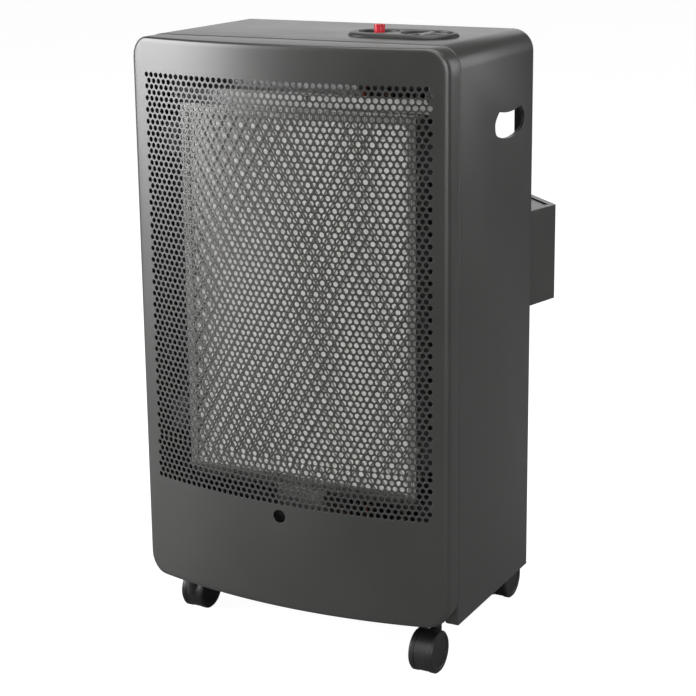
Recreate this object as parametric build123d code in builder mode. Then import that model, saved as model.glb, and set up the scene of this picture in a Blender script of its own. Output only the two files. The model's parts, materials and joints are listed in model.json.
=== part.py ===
"""Catalytic gas cabinet heater on twin-wheel castors, built as its separate pieces.

Millimetres throughout. +Z is up and -Y is the front. The origin lies on the floor, under
the middle of the whole heater with its bottle band.
"""

import os
from math import sqrt

from build123d import *

os.makedirs("parts", exist_ok=True)

# ---------------------------------------------------------------- driving dimensions
# casing
sheet = 1.0  # painted steel sheet
body_width = 406.0
body_height = 665.0
body_depth = 208.0  # seam of the front panel to the rear edge
floor_gap = 60.0  # floor to underside of the casing
top_corner_radius = 25.0
seam_flange = 14.0  # inward flange behind the front panel
rear_flange = 23.0
foot_flange = 16.0
seat_gap = 0.3  # clearance of pieces that are dropped in or lifted out

# front panel
panel_side_inset = 0.5
panel_top_inset = 0.5
panel_foot_inset = 4.5
bow_radius = 700.0
bow_depth = 56.0  # crest of the bow in front of the seam
panel_bend_radius = 9.0
panel_corner_radius = 24.5
panel_flange = 10.0
grille_pitch = 48.0
grille_hole = 36.0  # across corners
grille_columns = 7
grille_row_pairs = 6
grille_below_top = 40.5
sight_hole_diameter = 16.0
sight_hole_height = 118.5  # above the casing's underside

# hand slots
slot_length = 87.0
slot_end_height = 27.0
slot_sag = 6.0
slot_from_rear = 69.0
slot_below_top = 101.0

# bottle band
band_reach = 156.0  # behind the rear edge
band_height = 117.0
band_foot = 331.5  # above the casing's underside
band_start_inset = 2.0
band_flare = 12.0
band_side_depth = 53.0
band_back_half = 106.0
band_lip = 8.0
band_return = 18.0
hook_lift = 14.0
hook_width = 4.0
hook_neck = 10.0
hook_drop = 12.0
hook_lip = 2.0

# base tray
tray_sheet = 1.5
tray_rim = 22.0
tray_neck_inset = 24.0  # neck from the casing's side
tray_neck_depth = 48.0
tray_tail_half = 108.0
tray_tail_depth = 132.0
tray_vent_from_seam = 110.0
tray_vent_length = 60.0
tray_vent_width = 9.0
tray_vent_pitch = 44.0
tray_vent_count = 6

# castors
wheel_diameter = 50.0
wheel_rim_width = 7.0
wheel_hub_width = 5.5
wheel_hub_diameter = 39.0
wheel_dish = 1.0
wheel_dish_diameter = 40.0
castor_web = 4.0
hood_ground_gap = 5.0
neck_diameter = 14.0
neck_gap = 4.0  # top of the neck to the socket
stem_seat = 14.0  # stem held in the neck
castor_offset = 20.0
stem_diameter = 11.0
socket_depth = 34.0
axle_diameter = 6.0
running_gap = 0.05  # radial, shafts in their bores
side_gap = 0.4  # between wheel and housing
castor_inset = 35.0  # front stems from the casing's side
front_castor_from_seam = 14.0
rear_castor_from_rear = 4.0
rear_castor_inset = 43.0
socket_wall = 1.5
socket_flange_diameter = 22.0

# burner panel
pan_width = 300.0
pan_height = 448.0
pan_depth = 38.0
pan_below_top = 80.0
frame_side = 8.0
frame_head = 8.0
frame_foot = 14.0
frame_overlap = 2.0
frame_skirt = 10.0
window_corner = 4.0
frame_screw_length = 3.2
burner_from_seam = 4.0  # front of the pan ahead of the seam
pad_thickness = 15.0
mat_thickness = 9.0
guard_columns = 5
guard_rows = 7
guard_strand = 7.0
diffuser_columns = 3
diffuser_rows = 5
diffuser_port = 12.0
shield_from_seam = 49.0
shield_top_gap = 0.5  # below the tap's strap
shield_flange = 12.0
shield_slot_height = 14.0  # lets pipes and leads through
shield_slot_margin = 8.0
bracket_height = 40.0
bracket_flange = 16.0
bracket_inset = 50.0  # from the pan's head and foot
baffle_half = 178.0
baffle_from_seam = 22.0
baffle_face = 17.0
baffle_depth = 12.0
injector_height = 205.0  # above the pan's foot
injector_size = 14.0
injector_depth = 12.0
injector_nose = 7.8

# controls
control_x = 95.0  # middle of the escutcheon
control_from_seam = 82.0
control_spacing = 60.0
escutcheon_length = 132.0
escutcheon_width = 72.0
escutcheon_height = 4.5
escutcheon_wall = 2.0
escutcheon_lap = 3.0
knob_well_diameter = 60.0
knob_well_depth = 18.5
button_well_diameter = 47.0
button_well_depth = 8.5
knob_diameter = 54.0
knob_skirt = 5.0
knob_grip_width = 10.0
knob_grip_height = 8.0
knob_rest = 7.0  # skirt above the well's floor
knob_travel = 6.0
button_diameter = 12.5
button_travel = 5.0
button_rise = 13.0  # above the igniter's collar
button_length = 20.0
button_notches = 8
button_notch_depth = 3.0
button_notch_width = 1.6
snap_width = 8.0
snap_thickness = 1.5
snap_length = 8.0

# gas and ignition parts
valve_width = 30.0
valve_depth = 30.0
valve_height = 42.0
valve_corner = 3.0
valve_below_top = 30.0
spindle_diameter = 8.0
rotor_diameter = 18.0
rotor_height = 4.0
rotor_hub_diameter = 12.0
rotor_hub_height = 5.0
spindle_depth = 14.0  # below the valve's top
spindle_flat = 3.2  # from the middle
magnet_diameter = 18.0
magnet_length = 12.0
strap_thickness = 1.5
strap_width = 40.0
strap_foot = 10.0
nozzle_diameter = 9.0
nozzle_length = 26.0
nozzle_hex = 17.0
nozzle_hex_height = 6.0
main_pipe_diameter = 6.0
pilot_pipe_diameter = 4.0
lead_diameter = 3.0
pipe_bend = 11.0
lead_bend = 6.0
duct_from_seam = 41.5  # pipes behind the pan
outlet_drop = 27.0  # below the valve's top
outlet_spacing = 14.0
lead_exit = 16.0
pipe_run_drop = 63.0  # below the pan's foot
run_step = 9.0
pilot_bar_width = 62.0
pilot_bar_height = 40.0
pilot_bar_reach = 9.5  # bar to the burner frame
pilot_bar_x = 6.0
pilot_shelf_drop = 36.0
pilot_shelf_depth = 23.0
pilot_leaf = 20.0
pilot_stub_diameter = 6.0
pilot_stub_length = 6.0  # below the shelf
pilot_port = 3.0
pilot_tube_diameter = 8.0
pilot_tube_length = 26.0
probe_diameter = 5.0
probe_length = 32.0
ceramic_diameter = 6.0
ceramic_length = 22.0
electrode_wire = 1.6
pilot_spacing = 17.0
igniter_barrel = 18.0
igniter_length = 42.0
igniter_collar = 21.0
igniter_collar_height = 3.0
igniter_nut_width = 24.0
igniter_nut_height = 5.0
union_length = 9.0
union_wall = 3.0
screw_diameter = 4.0
screw_head = 7.6
screw_head_height = 2.4
screw_length = 7.0
screw_clearance = 0.1

# ---------------------------------------------------------------- places
overall_depth = bow_depth + body_depth + band_reach
front_y = -overall_depth / 2
seam_y = front_y + bow_depth
rear_y = seam_y + body_depth
foot_z = floor_gap
top_z = floor_gap + body_height
body_half = body_width / 2

panel_half = body_half - panel_side_inset
panel_top_z = top_z - panel_top_inset
panel_foot_z = foot_z + panel_foot_inset
sight_hole_z = foot_z + sight_hole_height

tray_z = foot_z + sheet  # the tray's floor lies on the foot flanges
bottle_floor_z = tray_z + tray_sheet
tray_half = body_half - sheet - seat_gap
tray_neck_half = body_half - tray_neck_inset

control_y = seam_y + control_from_seam
knob_x = control_x + control_spacing / 2
button_x = control_x - control_spacing / 2
plate_z = top_z + escutcheon_height
knob_floor_z = plate_z - knob_well_depth
button_floor_z = plate_z - button_well_depth
valve_top_z = top_z - valve_below_top
outlet_z = valve_top_z - outlet_drop

pan_front_y = seam_y - burner_from_seam
pan_back_y = pan_front_y + pan_depth
pan_top_z = top_z - pan_below_top
pan_foot_z = pan_top_z - pan_height
pan_middle_z = (pan_top_z + pan_foot_z) / 2
shield_y = seam_y + shield_from_seam
shield_top_z = valve_top_z - shield_top_gap

band_foot_z = foot_z + band_foot
band_front_y = rear_y + seat_gap
hook_x = body_half - rear_flange / 2
hook_heights = [band_foot_z + hook_drop + hook_lip, band_foot_z + band_height - hook_neck - hook_drop]


def front_view(y):
    """Plane facing the front at y, with X to the right and Z up; extruding goes forward."""
    return Plane(origin=(0, y, 0), x_dir=(1, 0, 0), z_dir=(0, -1, 0))


def side_view(x):
    """Plane facing +X at x, with Y to the right and Z up."""
    return Plane(origin=(x, 0, 0), x_dir=(0, 1, 0), z_dir=(1, 0, 0))


def save(piece, name):
    """Label a finished piece and write it."""
    piece.part.label = name
    export_step(piece.part, f"parts/{name}.step")


# ---------------------------------------------------------------- casing wrap
# One sheet folded into an inverted U, with inward flanges at the seam, rear and foot.
def arch(inset):
    """Outline of the wrap seen from the front, moved inwards by inset."""
    half = body_half - inset
    crown = top_z - inset
    with BuildSketch() as face:
        with BuildLine():
            FilletPolyline(
                (-half, foot_z),
                (-half, crown),
                (half, crown),
                (half, foot_z),
                radius=top_corner_radius - inset,
            )
            Line((half, foot_z), (-half, foot_z))
        make_face()
    return face.sketch


def curved_slot():
    """Hand slot, sagging in the middle, centred on the origin."""
    end = slot_length / 2
    shoulder = end - slot_end_height / 4
    upper = slot_end_height / 2 + slot_sag / 2
    lower = upper - slot_end_height
    with BuildSketch() as face:
        with BuildLine():
            ThreePointArc((-shoulder, upper), (0, upper - slot_sag / 2), (shoulder, upper))
            ThreePointArc((shoulder, upper), (end, upper - slot_end_height / 2), (shoulder, lower))
            ThreePointArc((shoulder, lower), (0, lower - slot_sag), (-shoulder, lower))
            ThreePointArc((-shoulder, lower), (-end, upper - slot_end_height / 2), (-shoulder, upper))
        make_face()
    return face.sketch


panel_screw_x = panel_half - panel_flange / 2
panel_screw_heights = [foot_z + body_height * share for share in (0.12, 0.5, 0.86)]
tray_screw_x = body_half - foot_flange / 2
tray_screw_places = [seam_y + body_depth * share for share in (0.2, 0.55, 0.9)]
control_opening_width = escutcheon_width - 2 * escutcheon_lap

with BuildPart() as body_wrap:
    with BuildSketch(front_view(seam_y)):
        add(arch(0))
        add(arch(sheet), mode=Mode.SUBTRACT)
    extrude(amount=-body_depth)
    with BuildSketch(front_view(seam_y)):
        add(arch(0))
        add(arch(seam_flange), mode=Mode.SUBTRACT)
    extrude(amount=-sheet)
    with BuildSketch(front_view(rear_y)):
        add(arch(0))
        add(arch(rear_flange), mode=Mode.SUBTRACT)
    extrude(amount=sheet)
    with BuildSketch(Plane.XY.offset(foot_z)):
        with Locations((0, seam_y + body_depth / 2)):
            Rectangle(body_width, body_depth)
            Rectangle(body_width - 2 * foot_flange, body_depth, mode=Mode.SUBTRACT)
    extrude(amount=sheet)
    with BuildSketch(side_view(0)):
        with Locations((rear_y - slot_from_rear, top_z - slot_below_top)):
            add(curved_slot())
    extrude(amount=body_width, both=True, mode=Mode.SUBTRACT)
    with BuildSketch(Plane.XY.offset(top_z - sheet)):
        with Locations((control_x, control_y)):
            SlotCenterToCenter(escutcheon_length - escutcheon_width, control_opening_width)
    extrude(amount=sheet, mode=Mode.SUBTRACT)
    with BuildSketch(front_view(rear_y)):
        slot_height = hook_neck + hook_lift + 2 * seat_gap
        for height in hook_heights:
            with Locations((0, height - seat_gap + slot_height / 2)):
                with GridLocations(2 * hook_x, 1, 2, 1):
                    Rectangle(hook_width + 2 * seat_gap, slot_height)
    extrude(amount=sheet, mode=Mode.SUBTRACT)
    with BuildSketch(front_view(seam_y)):
        for height in panel_screw_heights:
            with Locations((-panel_screw_x, height), (panel_screw_x, height)):
                Circle(screw_diameter / 2 + screw_clearance)
    extrude(amount=-sheet, mode=Mode.SUBTRACT)
    with BuildSketch(Plane.XY.offset(foot_z)):
        for place in tray_screw_places:
            with Locations((-tray_screw_x, place), (tray_screw_x, place)):
                Circle(screw_diameter / 2 + screw_clearance)
    extrude(amount=sheet, mode=Mode.SUBTRACT)
save(body_wrap, "body_wrap")


# ---------------------------------------------------------------- front panel
# Bowed pressing with rounded corners, a return to the seam and a punched grille.
def panel_block(inset, back_y):
    """Solid inside the panel's outer face moved inwards by inset, as far back as back_y."""
    half = panel_half - inset
    crest = front_y + inset
    bow = bow_radius - inset
    corner_y = crest + bow - sqrt(bow**2 - half**2)
    height = panel_top_z - panel_foot_z - 2 * inset
    with BuildPart() as block:
        with BuildSketch(Plane.XY.offset(panel_foot_z + inset)) as plan:
            with BuildLine():
                Polyline((-half, corner_y), (-half, back_y), (half, back_y), (half, corner_y))
                ThreePointArc((half, corner_y), (0, crest), (-half, corner_y))
            make_face()
            fillet(plan.vertices().group_by(Axis.Y)[0], panel_bend_radius - inset)
        extrude(amount=height)
        with BuildSketch(front_view(back_y)):
            with Locations((0, (panel_top_z + panel_foot_z) / 2)):
                RectangleRounded(2 * half, height, panel_corner_radius - inset)
        extrude(amount=2 * bow_depth, mode=Mode.INTERSECT)
    return block.part


panel_outside = panel_block(0, seam_y)
panel_inside = panel_block(sheet, seam_y - sheet)
grille_row = grille_pitch * sqrt(3) / 2
grille_middle_z = top_z - grille_below_top - (2 * grille_row_pairs - 1) * grille_row / 2 - grille_hole / 2

with BuildPart() as front_panel:
    add(panel_outside)
    add(panel_inside, mode=Mode.SUBTRACT)
    with BuildSketch(front_view(seam_y)):
        with Locations((0, (panel_top_z + panel_foot_z) / 2)):
            RectangleRounded(
                2 * (panel_half - panel_flange),
                panel_top_z - panel_foot_z - 2 * panel_flange,
                panel_corner_radius - panel_flange,
            )
    extrude(amount=sheet, mode=Mode.SUBTRACT)
    with BuildSketch(front_view(seam_y)):
        for shift in (-1, 1):
            with Locations((shift * grille_pitch / 4, grille_middle_z + shift * grille_row / 2)):
                with GridLocations(grille_pitch, 2 * grille_row, grille_columns, grille_row_pairs):
                    RegularPolygon(grille_hole / 2, 6, rotation=30)
        with Locations((0, sight_hole_z)):
            Circle(sight_hole_diameter / 2)
    extrude(amount=bow_depth, mode=Mode.SUBTRACT)
    with BuildSketch(front_view(seam_y)):
        for height in panel_screw_heights:
            with Locations((-panel_screw_x, height), (panel_screw_x, height)):
                Circle(screw_diameter / 2 + screw_clearance)
    extrude(amount=sheet, mode=Mode.SUBTRACT)
save(front_panel, "front_panel")


# ---------------------------------------------------------------- base tray
# Folded floor that carries the castors and runs out behind the casing under the bottle.
def tray_outline(inset):
    """Plan of the tray: full width inside the wrap, then a neck and a tapered tail."""
    points = [
        (tray_half, seam_y + sheet + seat_gap),
        (tray_half, rear_y - sheet - seat_gap),
        (tray_neck_half, rear_y - sheet - seat_gap),
        (tray_neck_half, rear_y + tray_neck_depth),
        (tray_tail_half, rear_y + tray_tail_depth),
    ]
    mirrored = [(-x, y) for x, y in reversed(points)]
    with BuildSketch() as plan:
        with BuildLine():
            Polyline(*points, *mirrored, close=True)
        make_face()
        if inset:
            offset(amount=-inset, kind=Kind.INTERSECTION, mode=Mode.REPLACE)
    return plan.sketch


castor_places = {
    "front_left": (castor_inset - body_half, seam_y + front_castor_from_seam, 1),
    "front_right": (body_half - castor_inset, seam_y + front_castor_from_seam, -1),
    "rear_left": (rear_castor_inset - body_half, rear_y + rear_castor_from_rear, 1),
    "rear_right": (body_half - rear_castor_inset, rear_y + rear_castor_from_rear, 1),
}
socket_radius = stem_diameter / 2 + running_gap + socket_wall

with BuildPart() as base_tray:
    with BuildSketch(Plane.XY.offset(tray_z)):
        add(tray_outline(0))
    extrude(amount=tray_rim)
    with BuildSketch(Plane.XY.offset(bottle_floor_z)):
        add(tray_outline(tray_sheet))
    extrude(amount=tray_rim, mode=Mode.SUBTRACT)
    with BuildSketch(Plane.XY.offset(tray_z)):
        for x, y, _ in castor_places.values():
            with Locations((x, y)):
                Circle(socket_radius + screw_clearance)
        for place in tray_screw_places:
            with Locations((-tray_screw_x, place), (tray_screw_x, place)):
                Circle(screw_diameter / 2 + screw_clearance)
        with Locations((0, seam_y + tray_vent_from_seam)):
            with GridLocations(tray_vent_pitch, 1, tray_vent_count, 1):
                SlotOverall(tray_vent_length, tray_vent_width, rotation=90)
    extrude(amount=tray_sheet, mode=Mode.SUBTRACT)
save(base_tray, "base_tray")

with BuildPart() as castor_sockets:
    for x, y, _ in castor_places.values():
        with BuildSketch(Plane.XY.offset(tray_z - sheet)):
            with Locations((x, y)):
                Circle(socket_flange_diameter / 2)
        extrude(amount=sheet)
        with BuildSketch(Plane.XY.offset(tray_z)):
            with Locations((x, y)):
                Circle(socket_radius)
        extrude(amount=socket_depth)
        with BuildSketch(Plane.XY.offset(tray_z - sheet)):
            with Locations((x, y)):
                Circle(stem_diameter / 2 + running_gap)
        extrude(amount=sheet + socket_depth, mode=Mode.SUBTRACT)
save(castor_sockets, "castor_sockets")


# ---------------------------------------------------------------- castors
# A moulded hood with a central web, a steel stem, an axle and two dished wheels each.
wheel_radius = wheel_diameter / 2
hood_radius = wheel_radius - side_gap
well_radius = wheel_hub_diameter / 2 + side_gap
hood_half = castor_web / 2 + side_gap + wheel_hub_width
neck_top_z = foot_z - neck_gap
stem_foot_z = neck_top_z - stem_seat
wheel_inner = castor_web / 2 + side_gap
rim_inner = hood_half + side_gap
rim_outer = rim_inner + wheel_rim_width
axle_half = (rim_inner + rim_outer) / 2

for name, (x, y, heading) in castor_places.items():
    axle_y = y + heading * castor_offset

    with BuildPart() as housing:
        with BuildSketch(side_view(x - hood_half)):
            with Locations((axle_y, wheel_radius)):
                Circle(hood_radius)
        extrude(amount=2 * hood_half)
        with BuildSketch(Plane.XY.offset(wheel_radius)):
            with Locations((x, y)):
                Circle(neck_diameter / 2)
        extrude(amount=neck_top_z - wheel_radius)
        for side in (-1, 1):
            with BuildSketch(side_view(x + side * castor_web / 2)):
                with Locations((axle_y, wheel_radius)):
                    Circle(well_radius)
            extrude(amount=side * hood_half, mode=Mode.SUBTRACT)
        with BuildSketch(side_view(x)):
            with Locations((axle_y, wheel_radius)):
                Circle(axle_diameter / 2)
            with Locations((axle_y, 0)):
                Rectangle(wheel_diameter, 2 * hood_ground_gap)
        extrude(amount=hood_half, both=True, mode=Mode.SUBTRACT)
        with BuildSketch(Plane.XY.offset(stem_foot_z)):
            with Locations((x, y)):
                Circle(stem_diameter / 2)
        extrude(amount=stem_seat, mode=Mode.SUBTRACT)
    save(housing, f"castor_{name}_housing")

    with BuildPart() as stem:
        with BuildSketch(Plane.XY.offset(stem_foot_z)):
            with Locations((x, y)):
                Circle(stem_diameter / 2)
        extrude(amount=tray_z + socket_depth - stem_foot_z)
        chamfer(stem.faces().sort_by(Axis.Z)[-1].edges(), 1)
    save(stem, f"castor_{name}_stem")

    with BuildPart() as axle:
        with BuildSketch(side_view(x)):
            with Locations((axle_y, wheel_radius)):
                Circle(axle_diameter / 2)
        extrude(amount=axle_half, both=True)
    save(axle, f"castor_{name}_axle")

    for side, side_name in ((-1, "left"), (1, "right")):
        bore = axle_diameter / 2 + running_gap
        bore_end = axle_half + side_gap
        profile = [
            (wheel_inner, bore),
            (wheel_inner, wheel_hub_diameter / 2),
            (rim_inner, wheel_hub_diameter / 2),
            (rim_inner, wheel_radius),
            (rim_outer - 2 * wheel_dish, wheel_radius),
            (rim_outer, wheel_radius - 2 * wheel_dish),
            (rim_outer, wheel_dish_diameter / 2),
            (rim_outer - wheel_dish, wheel_dish_diameter / 2 - wheel_dish),
            (rim_outer - wheel_dish, 0),
            (bore_end, 0),
            (bore_end, bore),
        ]
        with BuildPart() as wheel:
            with BuildSketch(front_view(axle_y)):
                with BuildLine():
                    Polyline(*[(x + side * along, wheel_radius + out) for along, out in profile], close=True)
                make_face()
            revolve(axis=Axis((x, axle_y, wheel_radius), (1, 0, 0)))
        save(wheel, f"castor_{name}_{side_name}_wheel")


# ---------------------------------------------------------------- bottle band
# Folded belt behind the bottle; its hooks drop into slots in the wrap's rear flanges.
def band_strip(width, with_returns):
    """Plan of a strip of the given width along the inside of the band's outer line."""
    start_x = body_half - band_start_inset
    right = [
        (start_x, band_front_y),
        (start_x + band_flare, band_front_y + band_side_depth),
        (band_back_half, rear_y + band_reach),
    ]
    if with_returns:
        right.insert(0, (start_x - band_return, band_front_y))
    left = [(-x, y) for x, y in reversed(right)]
    with BuildSketch() as plan:
        with BuildLine():
            Polyline(*right, *left)
            offset(amount=width, side=Side.LEFT, kind=Kind.INTERSECTION)
        make_face()
    return plan.sketch


with BuildPart() as retaining_band:
    with BuildSketch(Plane.XY.offset(band_foot_z)):
        add(band_strip(sheet, True))
    extrude(amount=band_height)
    for height in (band_foot_z, band_foot_z + band_height - sheet):
        with BuildSketch(Plane.XY.offset(height)):
            add(band_strip(band_lip, False))
        extrude(amount=sheet)
    hook_back_y = rear_y - sheet - seat_gap
    for height in hook_heights:
        with BuildSketch(front_view(band_front_y)):
            with Locations((0, height + hook_neck / 2)):
                with GridLocations(2 * hook_x, 1, 2, 1):
                    Rectangle(hook_width, hook_neck)
        extrude(amount=band_front_y - hook_back_y)
        with BuildSketch(front_view(hook_back_y)):
            with Locations((0, height + (hook_neck - hook_drop) / 2)):
                with GridLocations(2 * hook_x, 1, 2, 1):
                    Rectangle(hook_width, hook_neck + hook_drop)
        extrude(amount=hook_lip)
save(retaining_band, "retaining_band")


# ---------------------------------------------------------------- burner panel
# Shallow pan packed with diffuser, mineral mat, catalyst pad and expanded-metal guard,
# clamped by a picture frame.
pan_half = pan_width / 2
pan_inner_width = pan_width - 2 * sheet
pan_inner_height = pan_height - 2 * sheet
layer_width = pan_inner_width - 2 * seat_gap
layer_height = pan_inner_height - 2 * seat_gap
main_x = knob_x + outlet_spacing / 2
injector_z = pan_foot_z + injector_height
guard_back_y = pan_front_y + sheet
pad_back_y = guard_back_y + pad_thickness
mat_back_y = pad_back_y + mat_thickness
frame_screw_y = pan_front_y + frame_skirt / 2
frame_screw_rise = pan_height * 0.35

with BuildPart() as burner_pan:
    with BuildSketch(front_view(pan_back_y)):
        with Locations((0, pan_middle_z)):
            Rectangle(pan_width, pan_height)
    extrude(amount=pan_depth)
    with BuildSketch(front_view(pan_back_y - sheet)):
        with Locations((0, pan_middle_z)):
            Rectangle(pan_inner_width, pan_inner_height)
    extrude(amount=pan_depth, mode=Mode.SUBTRACT)
    with BuildSketch(front_view(pan_back_y)):
        with Locations((main_x, injector_z)):
            Circle(injector_nose / 2 + screw_clearance)
    extrude(amount=sheet, mode=Mode.SUBTRACT)
    with BuildSketch(side_view(0)):
        with Locations((frame_screw_y, pan_middle_z)):
            with GridLocations(1, frame_screw_rise, 1, 3):
                Circle(screw_diameter / 2 + screw_clearance)
    extrude(amount=body_half, both=True, mode=Mode.SUBTRACT)
save(burner_pan, "burner_pan")

with BuildPart() as diffuser_sheet:
    with BuildSketch(front_view(pan_back_y - sheet)):
        with Locations((0, pan_middle_z)):
            Rectangle(layer_width, layer_height)
    extrude(amount=pan_back_y - sheet - mat_back_y)
    with BuildSketch(front_view(pan_back_y - sheet)):
        with Locations((0, pan_middle_z)):
            Rectangle(layer_width - 2 * sheet, layer_height - 2 * sheet)
    extrude(amount=pan_back_y - 2 * sheet - mat_back_y, mode=Mode.SUBTRACT)
    with BuildSketch(front_view(mat_back_y + sheet)):
        with Locations((0, pan_middle_z)):
            with GridLocations(
                layer_width / diffuser_columns,
                layer_height / diffuser_rows,
                diffuser_columns,
                diffuser_rows,
            ):
                Rectangle(diffuser_port, diffuser_port)
    extrude(amount=sheet, mode=Mode.SUBTRACT)
save(diffuser_sheet, "diffuser_sheet")

with BuildPart() as insulation_mat:
    with BuildSketch(front_view(mat_back_y)):
        with Locations((0, pan_middle_z)):
            Rectangle(layer_width, layer_height)
    extrude(amount=mat_thickness)
save(insulation_mat, "insulation_mat")

with BuildPart() as catalyst_pad:
    with BuildSketch(front_view(pad_back_y)):
        with Locations((0, pan_middle_z)):
            RectangleRounded(layer_width, layer_height, window_corner)
    extrude(amount=pad_thickness)
save(catalyst_pad, "catalyst_pad")

guard_pitch_x = layer_width / (guard_columns + 0.5)
guard_pitch_z = layer_height / (guard_rows + 0.5)
cell_x = (guard_pitch_x - guard_strand) / 2
cell_z = (guard_pitch_z - guard_strand) / 2
with BuildPart() as guard_mesh:
    with BuildSketch(front_view(guard_back_y)):
        with Locations((0, pan_middle_z)):
            Rectangle(layer_width, layer_height)
            for shift in (0, 1):
                across = guard_columns - shift
                up = guard_rows - shift
                with GridLocations(guard_pitch_x, guard_pitch_z, across, up):
                    Polygon((cell_x, 0), (0, cell_z), (-cell_x, 0), (0, -cell_z), mode=Mode.SUBTRACT)
    extrude(amount=sheet)
save(guard_mesh, "guard_mesh")

frame_half = pan_half + frame_overlap
frame_height = pan_height + 2 * frame_overlap
window_height = pan_height - frame_head - frame_foot
window_z = pan_middle_z + (frame_foot - frame_head) / 2
with BuildPart() as burner_frame:
    with BuildSketch(front_view(pan_front_y + frame_skirt)):
        with Locations((0, pan_middle_z)):
            Rectangle(2 * frame_half, frame_height)
    extrude(amount=frame_skirt + sheet)
    with BuildSketch(front_view(pan_front_y + frame_skirt)):
        with Locations((0, pan_middle_z)):
            Rectangle(2 * (frame_half - sheet), frame_height - 2 * sheet)
    extrude(amount=frame_skirt, mode=Mode.SUBTRACT)
    with BuildSketch(front_view(pan_front_y)):
        with Locations((0, window_z)):
            RectangleRounded(pan_width - 2 * frame_side, window_height, window_corner)
    extrude(amount=sheet, mode=Mode.SUBTRACT)
    with BuildSketch(side_view(0)):
        with Locations((frame_screw_y, pan_middle_z)):
            with GridLocations(1, frame_screw_rise, 1, 3):
                Circle(screw_diameter / 2 + screw_clearance)
    extrude(amount=body_half, both=True, mode=Mode.SUBTRACT)
save(burner_frame, "burner_frame")

with BuildPart() as frame_screws:
    for side in (-1, 1):
        with BuildSketch(side_view(side * frame_half)):
            with Locations((frame_screw_y, pan_middle_z)):
                with GridLocations(1, frame_screw_rise, 1, 3):
                    RegularPolygon(screw_head / 2, 6)
        extrude(amount=side * screw_head_height)
        with BuildSketch(side_view(side * frame_half)):
            with Locations((frame_screw_y, pan_middle_z)):
                with GridLocations(1, frame_screw_rise, 1, 3):
                    RegularPolygon(screw_diameter / 2, 8)
        extrude(amount=-side * frame_screw_length)
save(frame_screws, "frame_screws")


# ---------------------------------------------------------------- shield and brackets
# Sheet between burner and bottle, standing on the tray; channels tie it, the pan and the
# casing's sides together.
shield_half = tray_half - tray_sheet - seat_gap
with BuildPart() as heat_shield:
    with BuildSketch(Plane.XY.offset(bottle_floor_z)):
        with BuildLine():
            Polyline(
                (-shield_half, shield_y + shield_flange),
                (-shield_half, shield_y),
                (shield_half, shield_y),
                (shield_half, shield_y + shield_flange),
            )
            offset(amount=sheet, side=Side.LEFT, kind=Kind.INTERSECTION)
        make_face()
    extrude(amount=shield_top_z - bottle_floor_z)
    with BuildSketch(front_view(shield_y + sheet)):
        with Locations(((button_x + main_x) / 2, outlet_z)):
            SlotOverall(main_x - button_x + 2 * shield_slot_margin, shield_slot_height)
    extrude(amount=2 * sheet, mode=Mode.SUBTRACT)
save(heat_shield, "heat_shield")

bracket_rise = pan_height - 2 * bracket_inset
with BuildPart() as side_brackets:
    for side in (-1, 1):
        for height in (pan_middle_z - bracket_rise / 2, pan_middle_z + bracket_rise / 2):
            with BuildSketch(Plane.XY.offset(height - bracket_height / 2)):
                with BuildLine():
                    Polyline(
                        (side * pan_half, pan_back_y - bracket_flange),
                        (side * pan_half, shield_y),
                        (side * (body_half - sheet), shield_y),
                        (side * (body_half - sheet), shield_y - bracket_flange),
                    )
                    inner = Side.RIGHT if side > 0 else Side.LEFT
                    offset(amount=sheet, side=inner, kind=Kind.INTERSECTION)
                make_face()
            extrude(amount=bracket_height)
save(side_brackets, "side_brackets")

with BuildPart() as top_baffle:
    with BuildSketch(Plane.XY.offset(pan_top_z)):
        with Locations((0, seam_y + baffle_from_seam + baffle_depth / 2)):
            Rectangle(2 * baffle_half, baffle_depth)
    extrude(amount=sheet)
    with BuildSketch(front_view(seam_y + baffle_from_seam)):
        with Locations((0, pan_top_z + baffle_face / 2)):
            Rectangle(2 * baffle_half, baffle_face)
    extrude(amount=-sheet)
save(top_baffle, "top_baffle")


# ---------------------------------------------------------------- case screws
# Hexagon-head screws: front panel from behind the seam flange, tray from below.
with BuildPart() as case_screws:
    for x in (-panel_screw_x, panel_screw_x):
        for height in panel_screw_heights:
            with BuildSketch(front_view(seam_y + sheet)):
                with Locations((x, height)):
                    RegularPolygon(screw_head / 2, 6)
            extrude(amount=-screw_head_height)
            with BuildSketch(front_view(seam_y + sheet)):
                with Locations((x, height)):
                    RegularPolygon(screw_diameter / 2, 8)
            extrude(amount=screw_length)
    for x in (-tray_screw_x, tray_screw_x):
        for place in tray_screw_places:
            with BuildSketch(Plane.XY.offset(foot_z)):
                with Locations((x, place)):
                    RegularPolygon(screw_head / 2, 6)
            extrude(amount=-screw_head_height)
            with BuildSketch(Plane.XY.offset(foot_z)):
                with Locations((x, place)):
                    RegularPolygon(screw_diameter / 2, 8)
            extrude(amount=screw_length)
save(case_screws, "case_screws")


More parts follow.
